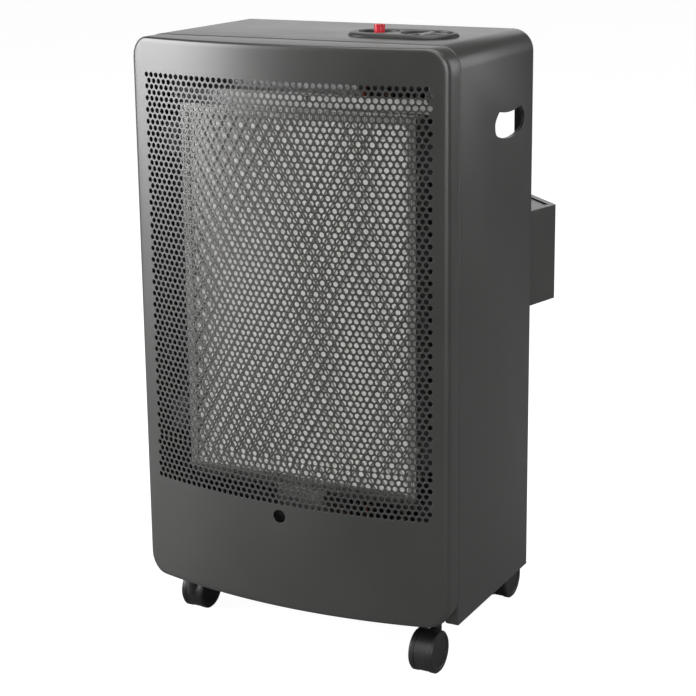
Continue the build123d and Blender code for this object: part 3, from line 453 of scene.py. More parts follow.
def mixed(tree, mask, low, high):
    """Colour between two sockets or plain colours by a mask."""
    node = tree.nodes.new("ShaderNodeMix")
    node.data_type = "RGBA"
    tree.links.new(mask, node.inputs["Factor"])
    for socket, colour in ((node.inputs["A"], low), (node.inputs["B"], high)):
        if isinstance(colour, tuple):
            socket.default_value = colour
        else:
            tree.links.new(colour, socket)
    return node.outputs["Result"]


def powder_coat(name, base, edge, edge_radius):
    """Dark powder coat with orange peel, clouded gloss and lighter edges."""
    material, tree, shader, place = new_material(name)
    cloud = noise(tree, place, 9, 4)
    tone = ramp(tree, cloud, [(0.3, shade(base, 0.92)), (0.7, shade(base, 1.08))])
    mask = worn_edges(tree, place, 0.0007, 60)
    tree.links.new(mixed(tree, mask, tone, edge), shader.inputs["Base Color"])
    gloss = ramp(tree, cloud, [(0.3, grey(0.36)), (0.7, grey(0.43))])
    tree.links.new(gloss, shader.inputs["Roughness"])
    shader.inputs["Specular IOR Level"].default_value = 0.62
    shader.inputs["Coat Weight"].default_value = 0.30
    shader.inputs["Coat Roughness"].default_value = 0.25
    relief(tree, shader, noise(tree, place, 1100, 2), 0.14, 0.0002, edge_radius)
    return material


panel_coat = powder_coat("front powder coat", coat_grey, coat_edge, 0.0004)
front_sheet.data.materials.append(panel_coat)
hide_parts("front_panel")
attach(front_sheet, "heater_case")

# ---------------------------------------------------------------- guard
# Expanded steel sheet in front of the burner, against burns. Its staggered diamonds are flat
# strands standing at a slant, sunk a little into the fibre pad behind them.
guard_low, guard_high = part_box("guard_mesh")
guard_middle = (guard_low + guard_high) / 2
diamond_wide = 0.016
diamond_high = 0.0274
diamond_columns = 18
diamond_rows = 16
strand_wide = 0.0021
strand_thick = 0.0008
strand_tilt = radians(38)
strand_shares = ((0.25, 0.25, 1), (0.75, 0.25, -1), (0.25, 0.75, -1), (0.75, 0.75, 1))
strand_length = sqrt(diamond_wide**2 + diamond_high**2) / 2
strand_turn = atan(diamond_high / diamond_wide)
lattice_left = guard_middle.x - diamond_columns * diamond_wide / 2
lattice_foot = guard_middle.z - diamond_rows * diamond_high / 2


def plated(name, low, high):
    """Plain plate or bar between two corners."""
    quiet()
    bpy.ops.mesh.primitive_cube_add(size=1)
    piece = bpy.context.object
    piece.name = piece.data.name = name
    for vertex in piece.data.vertices:
        vertex.co = [low[i] if vertex.co[i] < 0 else high[i] for i in range(3)]
    return piece


def settle(piece, body, material, angle):
    """Smooth a finished piece, give it its material and fix it to its body."""
    face_outwards(piece)
    bpy.ops.object.shade_smooth_by_angle(angle=radians(angle))
    piece.data.materials.clear()
    piece.data.materials.append(material)
    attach(piece, body)


def stretched(tree, place, scale):
    """Coordinates scaled along each axis, for streaks."""
    node = tree.nodes.new("ShaderNodeMapping")
    node.inputs["Scale"].default_value = scale
    tree.links.new(place, node.inputs["Vector"])
    return node.outputs["Vector"]


def bare_metal(name, base, rough, streak=(1, 1, 1), scale=40, edge_radius=0.0004):
    """Plated, drawn or rolled metal with clouded tone, uneven gloss and fine streaks."""
    material, tree, shader, place = new_material(name)
    cloud = noise(tree, place, scale, 5)
    line = noise(tree, stretched(tree, place, streak), 900, 3, 0.7)
    tone = ramp(tree, cloud, [(0.3, shade(base, 0.84)), (0.7, shade(base, 1.08))])
    dull = ramp(tree, line, [(0.35, grey(0.86)), (0.65, grey(1.0))])
    product = tree.nodes.new("ShaderNodeMix")
    product.data_type = "RGBA"
    product.blend_type = "MULTIPLY"
    product.inputs["Factor"].default_value = 1
    tree.links.new(tone, product.inputs["A"])
    tree.links.new(dull, product.inputs["B"])
    tree.links.new(product.outputs["Result"], shader.inputs["Base Color"])
    gloss = ramp(tree, line, [(0.3, grey(rough * 0.85)), (0.7, grey(rough * 1.2))])
    tree.links.new(gloss, shader.inputs["Roughness"])
    shader.inputs["Metallic"].default_value = 1
    relief(tree, shader, line, 0.3, 0.00004, edge_radius)
    return material


strands = []
for x_share, z_share, way in strand_shares:
    strand = plated(
        "strand",
        (-strand_length / 2, -strand_thick / 2, -strand_wide / 2),
        (strand_length / 2, strand_thick / 2, strand_wide / 2),
    )
    only(strand)
    edit()
    bpy.ops.mesh.select_all(action="SELECT")
    bpy.ops.transform.rotate(value=strand_tilt, orient_axis="X", center_override=(0, 0, 0))
    bpy.ops.transform.rotate(
        value=-way * strand_turn, orient_axis="Y", center_override=(0, 0, 0)
    )
    bpy.ops.transform.translate(
        value=(
            lattice_left + x_share * diamond_wide,
            guard_high.y - hair,
            lattice_foot + z_share * diamond_high,
        )
    )
    done()
    strands.append(strand)
guard = joined(strands, fine_weld)
guard.name = guard.data.name = "expanded_guard"
repeat(guard, diamond_columns, (diamond_wide, 0, 0))
repeat(guard, diamond_rows, (0, 0, diamond_high))

# The steel is much darker than plain steel as painted shade, so the strands show as dark lines.
guard_steel = bare_metal("guard steel", (0.20, 0.19, 0.175, 1), 0.34, scale=90)
settle(guard, "heater_case", guard_steel, 30)
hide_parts("guard_mesh")

# ---------------------------------------------------------------- fibre pad
# The catalyst sits on a tightly packed mat of pale mineral fibre. It is pressed in under the
# guard's strands, puffs out between them and is needled, so that its face is tangled.
pad_low, pad_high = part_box("catalyst_pad")
pad_press = 0.0008
pad_columns = 76
pad_rows = 130
pad_white = (0.90, 0.89, 0.85, 1)
fibre_scale = 420


def felted(name, base, scale):
    """Needled mineral fibre: matte, with tangled strands, pits and a few darker specks."""
    material, tree, shader, place = new_material(name)
    strand = noise(tree, stretched(tree, place, (1, 1, 0.45)), scale, 8, 0.75)
    fleck = noise(tree, place, scale * 0.35, 4, 0.6)
    tone = ramp(
        tree, strand, [(0.25, shade(base, 0.72)), (0.5, base), (0.75, shade(base, 1.15))]
    )
    speck = ramp(tree, fleck, [(0.30, grey(1)), (0.36, grey(0))])
    mask = tree.nodes.new("ShaderNodeSeparateColor")
    tree.links.new(speck, mask.inputs["Color"])
    spotted = mixed(tree, mask.outputs["Red"], tone, shade(base, 0.6))
    tree.links.new(spotted, shader.inputs["Base Color"])
    gloss = ramp(tree, strand, [(0.3, grey(0.95)), (0.7, grey(0.8))])
    tree.links.new(gloss, shader.inputs["Roughness"])
    shader.inputs["Sheen Weight"].default_value = 0.25
    shader.inputs["Sheen Roughness"].default_value = 0.5
    relief(tree, shader, strand, 0.6, 0.0006, 0.0008)
    return material


quiet()
bpy.ops.mesh.primitive_grid_add(x_subdivisions=pad_columns, y_subdivisions=pad_rows, size=1)
pad = bpy.context.object
pad.name = pad.data.name = "fibre_pad"
for vertex in pad.data.vertices:
    x = pad_low.x + (vertex.co.x + 0.5) * (pad_high.x - pad_low.x)
    z = pad_low.z + (vertex.co.y + 0.5) * (pad_high.z - pad_low.z)
    across = (x - lattice_left) / diamond_wide
    up = (z - lattice_foot) / diamond_high
    puff = sqrt(abs(sin(pi * (across + up)) * sin(pi * (across - up))))
    vertex.co = (x, pad_low.y + pad_press * (1 - puff), z)
only(pad)
edit()
bpy.ops.mesh.select_all(action="SELECT")
bpy.ops.mesh.extrude_region()
done()
for vertex in pad.data.vertices:
    if vertex.select:
        vertex.co.y = pad_high.y

catalyst_fibre = felted("catalyst fibre", pad_white, fibre_scale)
settle(pad, "heater_case", catalyst_fibre, 60)
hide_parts("catalyst_pad")

# ---------------------------------------------------------------- baffle strip
# A bright galvanised angle above the burner turns the hot air forwards. Its edge is notched
# twice, and one pan head screw holds it.
strip_low, strip_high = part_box("top_baffle")
notch_radius = 0.0034
notch_spots = ((-0.1372, strip_high.z), (0.1561, strip_high.z - 0.001))
screw_x = 0.0019
screw_z = strip_high.z - 0.0065
screw_profile = [
    (0.0018, -0.002),
    (0.0018, 0.0001),
    (0.0035, 0.0001),
    (0.0035, 0.0009),
    (0.0022, 0.0019),
    (0.0008, 0.0021),
]
cut_reach = 0.01
ring_weld = 0.000005


def turned(name, profile, x=0, y=0, sides=48, straight=0):
    """Round piece about an upright axis, ring by ring along (radius, height) points. A straight
    half length pulls it out to a round-ended one."""
    quiet()
    bpy.ops.mesh.primitive_circle_add(vertices=sides, radius=1, location=(0, 0, 0))
    piece = bpy.context.object
    piece.name = piece.data.name = name
    for vertex in piece.data.vertices:
        angle = (vertex.index + 0.5) * 2 * pi / sides
        vertex.co = (cos(angle) + copysign(straight, cos(angle)), sin(angle), 0)
    for number, (radius, height) in enumerate(profile):
        edit()
        if number:
            bpy.ops.mesh.extrude_region()
        else:
            bpy.ops.mesh.select_all(action="SELECT")
        done()
        for vertex in piece.data.vertices:
            if vertex.select:
                shift = copysign(straight, vertex.co.x)
                spot = Vector((vertex.co.x - shift, vertex.co.y)).normalized() * radius
                vertex.co = (spot.x + shift, spot.y, height)
    edit()
    bpy.ops.mesh.select_all(action="SELECT")
    bpy.ops.mesh.remove_doubles(threshold=ring_weld)
    bpy.ops.mesh.fill_holes(sides=0)
    bpy.ops.mesh.select_all(action="SELECT")
    bpy.ops.mesh.normals_make_consistent(inside=False)
    done()
    for vertex in piece.data.vertices:
        vertex.co += Vector((x, y, 0))
    return piece


def faced(piece, x, y, z):
    """Turn a piece made about an upright axis to face forwards and put it in place."""
    for vertex in piece.data.vertices:
        a, b, c = vertex.co
        vertex.co = (a, -c, b)
        vertex.co += Vector((x, y, z))
    return piece


def cut(piece, tool, how="DIFFERENCE"):
    """Cut a piece with a tool, or unite them, and remove the tool."""
    modifier = piece.modifiers.new("cut", "BOOLEAN")
    modifier.operation = how
    modifier.solver = "EXACT"
    modifier.object = tool
    apply_all(piece)
    bpy.data.objects.remove(tool)


def spangled(name, base, rough, size, metal=1):
    """Galvanised sheet: crystals of different tone and gloss."""
    material, tree, shader, place = new_material(name)
    crystal = tree.nodes.new("ShaderNodeTexVoronoi")
    crystal.inputs["Scale"].default_value = size
    tree.links.new(place, crystal.inputs["Vector"])
    split = tree.nodes.new("ShaderNodeSeparateColor")
    tree.links.new(crystal.outputs["Color"], split.inputs["Color"])
    tone = ramp(tree, split.outputs["Red"], [(0, shade(base, 0.90)), (1, shade(base, 1.06))])
    tree.links.new(tone, shader.inputs["Base Color"])
    gloss = ramp(tree, split.outputs["Green"], [(0, grey(rough * 0.9)), (1, grey(rough * 1.15))])
    tree.links.new(gloss, shader.inputs["Roughness"])
    shader.inputs["Metallic"].default_value = metal
    relief(tree, shader, noise(tree, place, 700, 3), 0.2, 0.00005, 0.0005)
    return material


strip_front = (strip_high.x, strip_low.y + sheet, strip_high.z)
strip_foot = (strip_high.x, strip_high.y, strip_low.z + sheet)
strip = joined(
    [plated("strip_front", strip_low, strip_front), plated("strip_foot", strip_low, strip_foot)],
    fine_weld,
)
strip.name = strip.data.name = "baffle_strip"
for x, z in notch_spots:
    notch = turned("notch", [(notch_radius, -cut_reach), (notch_radius, cut_reach)], sides=16)
    cut(strip, faced(notch, x, strip_low.y, z))
screw = turned("baffle_screw", screw_profile, sides=20)
faced(screw, screw_x, strip_low.y, screw_z)

baffle_sheet = spangled("bright baffle sheet", (0.95, 0.95, 0.93, 1), 0.50, 70, 0.35)
screw_steel = bare_metal("dull screw steel", (0.40, 0.40, 0.39, 1), 0.38)
settle(strip, "heater_case", baffle_sheet, 30)
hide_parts("top_baffle")
settle(screw, "heater_case", screw_steel, 30)

# ---------------------------------------------------------------- pipe seal
# A black rubber strip closes the heat shield's slot tightly round the gas pipes and the
# leads. It is grooved all round and grips the sheet on both sides. Its black is painted shade,
# a dark piece that keeps the holes in front dark like the rest of the casing's inside.
shield_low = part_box("heat_shield")[0]
main_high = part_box("main_gas_pipe")[1]
lead_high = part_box("ignition_lead")[1]
lead_radius = 0.0015
pipe_radius = 0.003
slot_side = 0.008
slot_round = 0.007
slot_left = lead_high.x - lead_radius - slot_side
slot_right = main_high.x - pipe_radius + slot_side
slot_half = (slot_right - slot_left) / 2 - slot_round
seal_profile = [
    (0.0085, -0.0010),
    (0.0090, -0.0005),
    (0.0085, -0.0001),
    (0.0069, -0.0001),
    (0.0069, 0.0011),
    (0.0085, 0.0011),
    (0.0090, 0.0015),
    (0.0085, 0.0020),
]


def moulded(name, base, rough, grain=1400, edge_radius=0.0005, wear=1.6):
    """Moulded plastic with a fine grain, a slightly clouded tone and paler worn edges."""
    material, tree, shader, place = new_material(name)
    cloud = noise(tree, place, 45, 4)
    tone = ramp(tree, cloud, [(0.3, shade(base, 0.86)), (0.7, shade(base, 1.15))])
    mask = worn_edges(tree, place, 0.0006, 90)
    tree.links.new(mixed(tree, mask, tone, shade(base, wear)), shader.inputs["Base Color"])
    gloss = ramp(tree, cloud, [(0.3, grey(rough * 0.88)), (0.7, grey(rough * 1.12))])
    tree.links.new(gloss, shader.inputs["Roughness"])
    relief(tree, shader, noise(tree, place, grain, 2), 0.22, 0.00012, edge_radius)
    return material


seal = turned("pipe_seal_painted_shade", seal_profile, sides=32, straight=slot_half)
seal_x = (slot_left + slot_right) / 2
faced(seal, seal_x, shield_low.y + sheet, main_high.z - pipe_radius)

black_plastic = moulded("black plastic", (0.012, 0.012, 0.012, 1), 0.48, edge_radius=0.0003)
# The strip's black stands for the shade inside the casing: painted shade.
settle(seal, "heater_case", black_plastic, 30)

# ---------------------------------------------------------------- bezel
# A low moulded bezel with a rounded edge is clipped into the top. It has a deep round well
# for the tap's knob, lined with a black sleeve as painted shade, and a soft dish that slopes
# down to the igniter. It is black below its flat face, as painted shade in the well and the
# dish; the face is painted grey like the casing but paler, partly as a painted highlight.
bezel_low, bezel_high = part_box("control_escutcheon")
casing_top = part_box("body_wrap")[1].z
control_x = (bezel_low.x + bezel_high.x) / 2
control_y = (bezel_low.y + bezel_high.y) / 2
bezel_radius = (bezel_high.y - bezel_low.y) / 2
bezel_straight = (bezel_high.x - bezel_low.x) / 2 - bezel_radius
bezel_top = bezel_high.z
knob_x = control_x + bezel_straight
button_x = control_x - bezel_straight
knob_floor = bezel_top - 0.0185
dish_floor = bezel_top - 0.0085
well_radius = 0.0296
cup_radius = 0.0318
dish_cup_radius = 0.0253
spindle_bore = 0.0048
igniter_bore = 0.0093
bore_low = bezel_low.z - 0.005
cup_high = bezel_top - 0.002
leg_half = 0.004
leg_thick = 0.0015
bezel_edge = [
    (bezel_radius - 0.0002, casing_top),
    (bezel_radius, casing_top + 0.0004),
    (bezel_radius - 0.0003, casing_top + 0.0014),
    (bezel_radius - 0.0012, casing_top + 0.0027),
    (bezel_radius - 0.0027, casing_top + 0.0038),
    (bezel_radius - 0.0046, casing_top + 0.0044),
    (bezel_radius - 0.0060, bezel_top),
]
knob_well = [
    (well_radius, knob_floor),
    (well_radius + 0.0002, bezel_top - 0.0012),
    (well_radius + 0.0005, bezel_top - 0.0005),
    (well_radius + 0.0011, bezel_top),
    (well_radius + 0.0011, bezel_top + 0.002),
]
dish = [
    (0.0150, dish_floor),
    (0.0185, dish_floor + 0.0005),
    (0.0212, dish_floor + 0.0018),
    (0.0230, dish_floor + 0.0040),
    (0.0238, dish_floor + 0.0064),
    (0.0243, dish_floor + 0.0078),
    (0.0250, bezel_top),
    (0.0256, bezel_top + 0.002),
]
sleeve = [
    (well_radius, knob_floor + 0.0002),
    (well_radius - 0.0009, knob_floor + 0.0002),
    (well_radius - 0.0009, bezel_top - 0.0022),
    (well_radius - 0.0006, bezel_top - 0.0018),
    (well_radius + 0.0001, bezel_top - 0.0018),
    (well_radius, knob_floor + 0.0002),
]


def tube(radius, low, high):
    """Profile of a plain round tool between two heights."""
    return [(radius, low), (radius, high)]


bezel = turned("control_bezel", bezel_edge, control_x, control_y, 96, bezel_straight)
knob_cup = turned("cup", tube(cup_radius, bezel_low.z, cup_high), knob_x, control_y)
cut(bezel, knob_cup, "UNION")
dish_cup = turned("cup", tube(dish_cup_radius, dish_floor - 0.002, cup_high), button_x, control_y)
cut(bezel, dish_cup, "UNION")
cut(bezel, turned("well", knob_well, knob_x, control_y))
cut(bezel, turned("bore", tube(spindle_bore, bore_low, bezel_top), knob_x, control_y, 24))
cut(bezel, turned("dish", dish, button_x, control_y))
cut(bezel, turned("bore", tube(igniter_bore, bore_low, bezel_top), button_x, control_y, 32))
for side in (-1, 1):
    outer_y = control_y + side * (bezel_radius - 0.0033)
    inner_y = outer_y - side * leg_thick
    leg = plated(
        "leg",
        (control_x - leg_half, min(outer_y, inner_y), casing_top - 0.0055),
        (control_x + leg_half, max(outer_y, inner_y), casing_top + 0.001),
    )
    cut(bezel, leg, "UNION")
# The black sleeve in the knob's well is painted shade: a dark piece put there so the well shows
# dark.
shade_sleeve = turned("well_sleeve_painted_shade", sleeve, knob_x, control_y, 72)

# Black below the flat face is painted shade; the face's grey paint is paler, partly painted
# highlight.
bezel_plastic_painted_shade, tree, shader, place = new_material("bezel plastic with painted shade and highlight")
height = tree.nodes.new("ShaderNodeSeparateXYZ")
tree.links.new(place, height.inputs["Vector"])
painted = tree.nodes.new("ShaderNodeMapRange")
painted.inputs["From Min"].default_value = bezel_top - 0.0014
painted.inputs["From Max"].default_value = bezel_top - 0.0006
tree.links.new(height.outputs["Z"], painted.inputs["Value"])
cloud = noise(tree, place, 45, 4)
painted_shade_black = ramp(tree, cloud, [(0.3, grey(0.010)), (0.7, grey(0.014))])
paint = ramp(tree, cloud, [(0.3, shade(coat_grey, 2.8)), (0.7, shade(coat_grey, 3.3))])
tone = mixed(tree, painted.outputs["Result"], painted_shade_black, paint)
tree.links.new(tone, shader.inputs["Base Color"])
gloss = ramp(tree, cloud, [(0.3, grey(0.40)), (0.7, grey(0.48))])
tree.links.new(gloss, shader.inputs["Roughness"])
relief(tree, shader, noise(tree, place, 1400, 2), 0.22, 0.00012, 0.0003)

settle(shade_sleeve, "heater_case", black_plastic, 40)
settle(bezel, "heater_case", bezel_plastic_painted_shade, 40)
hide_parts("control_escutcheon")

# ---------------------------------------------------------------- knob
# The tap's knob is a dished black disc with a raised pale rim. A pale grip stands across it,
# tapered towards its top and slightly waisted. The pale grey of rim and grip is a painted
# highlight, standing in for the shine on the knob's black plastic.
knob_low, knob_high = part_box("control_knob")
knob_radius = (knob_high.x - knob_low.x) / 2
skirt_top = knob_low.z + 0.0078
rim_inner = knob_radius - 0.0034
knob_bore = 0.0050
knob_profile = [
    (knob_bore, knob_low.z),
    (knob_radius - 0.0004, knob_low.z),
    (knob_radius, knob_low.z + 0.0005),
    (knob_radius, skirt_top - 0.0012),
    (knob_radius - 0.0004, skirt_top - 0.0004),
    (knob_radius - 0.0013, skirt_top),
    (knob_radius - 0.0026, skirt_top - 0.0004),
    (knob_radius - 0.0040, skirt_top - 0.0006),
    (knob_radius - 0.0047, skirt_top - 0.0034),
    (knob_radius - 0.0065, skirt_top - 0.0048),
    (knob_bore, skirt_top - 0.0050),
]
rim_profile = [
    (rim_inner, skirt_top - 0.0008),
    (knob_radius - 0.0001, skirt_top - 0.0008),
    (knob_radius, skirt_top - 0.0002),
    (knob_radius - 0.0004, skirt_top + 0.0005),
    (knob_radius - 0.0012, skirt_top + 0.0008),
    (rim_inner + 0.0008, skirt_top + 0.0006),
    (rim_inner, skirt_top + 0.0002),
    (rim_inner, skirt_top - 0.0008),
]
grip_half_wide = 0.005
grip_half_long = 0.0205
grip_low = skirt_top - 0.0065
grip_high = knob_high.z - 0.0016
grip_taper_x = 0.0016
grip_taper_y = 0.0060
grip_waist = 0.0012
grip_middle = 0.002
grip_edge = 0.0009

knob = turned("tap_knob_cap", knob_profile, knob_x, control_y, 72)
rim = turned("knob_rim", rim_profile, knob_x, control_y, 72)
grip = plated(
    "knob_grip",
    (knob_x - grip_half_wide, control_y - grip_half_long, grip_low),
    (knob_x + grip_half_wide, control_y + grip_half_long, grip_high),
)
for vertex in grip.data.vertices:
    if vertex.co.z > skirt_top:
        vertex.co.x += copysign(grip_taper_x, knob_x - vertex.co.x)
        vertex.co.y += copysign(grip_taper_y, control_y - vertex.co.y)
only(grip)
edit()
bpy.ops.mesh.select_all(action="SELECT")
bpy.ops.mesh.subdivide(number_cuts=5)
bpy.ops.mesh.select_all(action="DESELECT")
done()
for vertex in grip.data.vertices:
    along = (vertex.co.y - control_y) / grip_half_long
    if abs(vertex.co.x - knob_x) > grip_middle:
        vertex.co.x += copysign(grip_waist * (1 - along**2), knob_x - vertex.co.x)
edges = grip.modifiers.new("edges", "BEVEL")
edges.width = grip_edge
edges.segments = 3
edges.limit_method = "ANGLE"
edges.angle_limit = radians(50)
apply_all(grip)

# Pale grey for rim and grip is a painted highlight on black plastic.
knob_highlight_plastic = moulded(
    "knob plastic with painted highlight", (0.13, 0.135, 0.135, 1), 0.40, edge_radius=0.0004, wear=1.2
)
knob_plastic = moulded("knob plastic", (0.012, 0.012, 0.012, 1), 0.45)
settle(rim, "tap_knob", knob_highlight_plastic, 60)
settle(grip, "tap_knob", knob_highlight_plastic, 40)
settle(knob, "tap_knob", knob_plastic, 40)
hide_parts("control_knob")

# ---------------------------------------------------------------- casing wrap
# One powder coated sheet over top and sides. Its seam and rear flanges are folded in on small
# radii, flat flanges are set at its feet, and the hand slots are pressed inwards as a smooth lip.
wrap_low, wrap_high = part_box("body_wrap")
wrap_radius = 0.025
fold_radius = 0.0016
arc_parts = 12
fold_parts = 4
wrap_columns = 2 * arc_parts + 3
seam_flange = 0.014
rear_flange = 0.023
foot_flange = 0.016
foot_gap = 0.0003
slot_y = wrap_high.y - 0.069
slot_z = wrap_high.z - 0.101
lip_depth = 0.005
lip_wide = 1.024
lip_high = 1.065
hook_feet = (0.4052, 0.4862)
hook_half = 0.0023
hook_high = 0.0246
opening_radius = bezel_radius - 0.003


def wrap_profile(inset):
    """Points of the arch from foot to foot, moved inwards by inset."""
    points = [(wrap_low.x + inset, wrap_low.z)]
    for side in (-1, 1):
        middle_x = wrap_high.x - wrap_radius
        middle_z = wrap_high.z - wrap_radius
        for part in range(arc_parts + 1):
            angle = pi / 2 * part / arc_parts
            if side > 0:
                angle = pi / 2 - angle
            x = middle_x + (wrap_radius - inset) * cos(angle)
            points.append((side * x, middle_z + (wrap_radius - inset) * sin(angle)))
    points.append((wrap_high.x - inset, wrap_low.z))
    return points


def fold_rows(flange, y, way):
    """Arches of one folded flange, from its free edge to the wall: (inset, y) pairs."""
    rows = [(flange, y)]
    for part in range(fold_parts + 1):
        angle = pi / 2 * part / fold_parts
        rows.append((fold_radius * (1 - sin(angle)), y + way * fold_radius * (1 - cos(angle))))
    return rows


def prism(name, outline, low, high):
    """Solid along X between low and high with an outline of (y, z) points."""
    quiet()
    bpy.ops.mesh.primitive_circle_add(vertices=len(outline), radius=1, fill_type="NGON")
    piece = bpy.context.object
    piece.name = piece.data.name = name
    for vertex, (y, z) in zip(piece.data.vertices, outline):
        vertex.co = (low, y, z)
    edit()
    bpy.ops.mesh.select_all(action="SELECT")
    bpy.ops.mesh.extrude_region()
    done()
    for vertex in piece.data.vertices:
        if vertex.select:
            vertex.co.x = high
    edit()
    bpy.ops.mesh.select_all(action="SELECT")
    bpy.ops.mesh.fill_holes(sides=0)
    bpy.ops.mesh.select_all(action="SELECT")
    bpy.ops.mesh.normals_make_consistent(inside=False)
    done()
    return piece


def arc_through(start, middle, end, parts):
    """Points of a shallow curve through three points, without the last."""
    points = []
    for part in range(parts):
        t = part / parts
        a, b, c = (1 - t) * (1 - 2 * t), 4 * t * (1 - t), t * (2 * t - 1)
        points.append(tuple(a * s + b * m + c * e for s, m, e in zip(start, middle, end)))
    return points


rows = fold_rows(seam_flange, wrap_low.y, 1)
rows += list(reversed(fold_rows(rear_flange, wrap_high.y, -1)))
quiet()
bpy.ops.mesh.primitive_grid_add(
    x_subdivisions=wrap_columns, y_subdivisions=len(rows) - 1, size=1
)
wrap = bpy.context.object
wrap.name = wrap.data.name = "casing_wrap"
for vertex in wrap.data.vertices:
    column = round((vertex.co.x + 0.5) * wrap_columns)
    row = round((vertex.co.y + 0.5) * (len(rows) - 1))
    inset, y = rows[row]
    x, z = wrap_profile(inset)[column]
    vertex.co = (x, y, z)
face_outwards(wrap)
thicken(wrap, even=True)

# hand slots, with sharp upper corners and full round lower ones
slot_arcs = (
    ((-0.0315, 0.0166), (0, 0.0134), (0.0315, 0.0166), 12),
    ((0.0315, 0.0166), (0.0412, 0.0080), (0.0433, 0.0006), 5),
    ((0.0433, 0.0006), (0.0412, -0.0070), (0.0352, -0.0110), 5),
    ((0.0352, -0.0110), (0, -0.0166), (-0.0352, -0.0110), 14),
    ((-0.0352, -0.0110), (-0.0412, -0.0070), (-0.0433, 0.0006), 5),
    ((-0.0433, 0.0006), (-0.0412, 0.0080), (-0.0315, 0.0166), 5),
)
slot_points = []
for start, middle, end, parts in slot_arcs:
    slot_points += arc_through(start, middle, end, parts)
outer = [(slot_y + y * lip_wide, slot_z + z * lip_high) for y, z in slot_points]
inner = [(slot_y + y, slot_z + z) for y, z in slot_points]
for side in (-1, 1):
    lip_ends = sorted((side * (wrap_high.x - lip_depth), side * (wrap_high.x - 0.0002)))
    slot_ends = sorted((side * (wrap_high.x - 0.03), side * (wrap_high.x + cut_reach)))
    cut(wrap, prism("lip", outer, *lip_ends), "UNION")
    cut(wrap, prism("slot", inner, *slot_ends))

# the bezel's opening, the slots for the band's hooks and the flanges at the feet
opening = turned(
    "opening",
    tube(opening_radius, casing_top - cut_reach, casing_top + cut_reach),
    control_x,
    control_y,
    64,
    bezel_straight,
)
cut(wrap, opening)
for side in (-1, 1):
    hook_x = side * (wrap_high.x - rear_flange / 2)
    for foot in hook_feet:
        hook_slot = plated(
            "hook_slot",
            (hook_x - hook_half, wrap_high.y - cut_reach, foot),
            (hook_x + hook_half, wrap_high.y + cut_reach, foot + hook_high),
        )
        cut(wrap, hook_slot)
    edge_x, inner_x = side * wrap_high.x, side * (wrap_high.x - foot_flange)
    foot_plate = plated(
        "foot_plate",
        (min(edge_x, inner_x), wrap_low.y + foot_gap, wrap_low.z),
        (max(edge_x, inner_x), wrap_high.y - foot_gap, wrap_low.z + sheet),
    )
    cut(wrap, foot_plate, "UNION")

casing_coat = powder_coat("casing powder coat", coat_grey, coat_edge, 0.0012)
settle(wrap, "heater_case", casing_coat, 30)
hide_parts("body_wrap")

# ---------------------------------------------------------------- band folds
# The sheet steel band behind the bottle has a wide upper fold at both ends, where it holds
# the hooks stiff. It is powder coated like the casing.
band_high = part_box("retaining_band")[1]
fold_z = band_high.z - 0.0021
fold_outline = [
    (0.2033, 0.0640),
    (0.2118, 0.1040),
    (0.1500, 0.1655),
    (0.1380, 0.1535),
    (0.1760, 0.1160),
    (0.1760, 0.0700),
]
for name, side in (("band_fold_left", -1), ("band_fold_right", 1)):
    quiet()
    bpy.ops.mesh.primitive_circle_add(vertices=len(fold_outline), radius=1, fill_type="NGON")
    fold = bpy.context.object
    fold.name = fold.data.name = name
    for vertex, (x, y) in zip(fold.data.vertices, fold_outline):
        vertex.co = (side * x, y, fold_z)
    thicken(fold, offset=0)
    settle(fold, "bottle_band", casing_coat, 30)

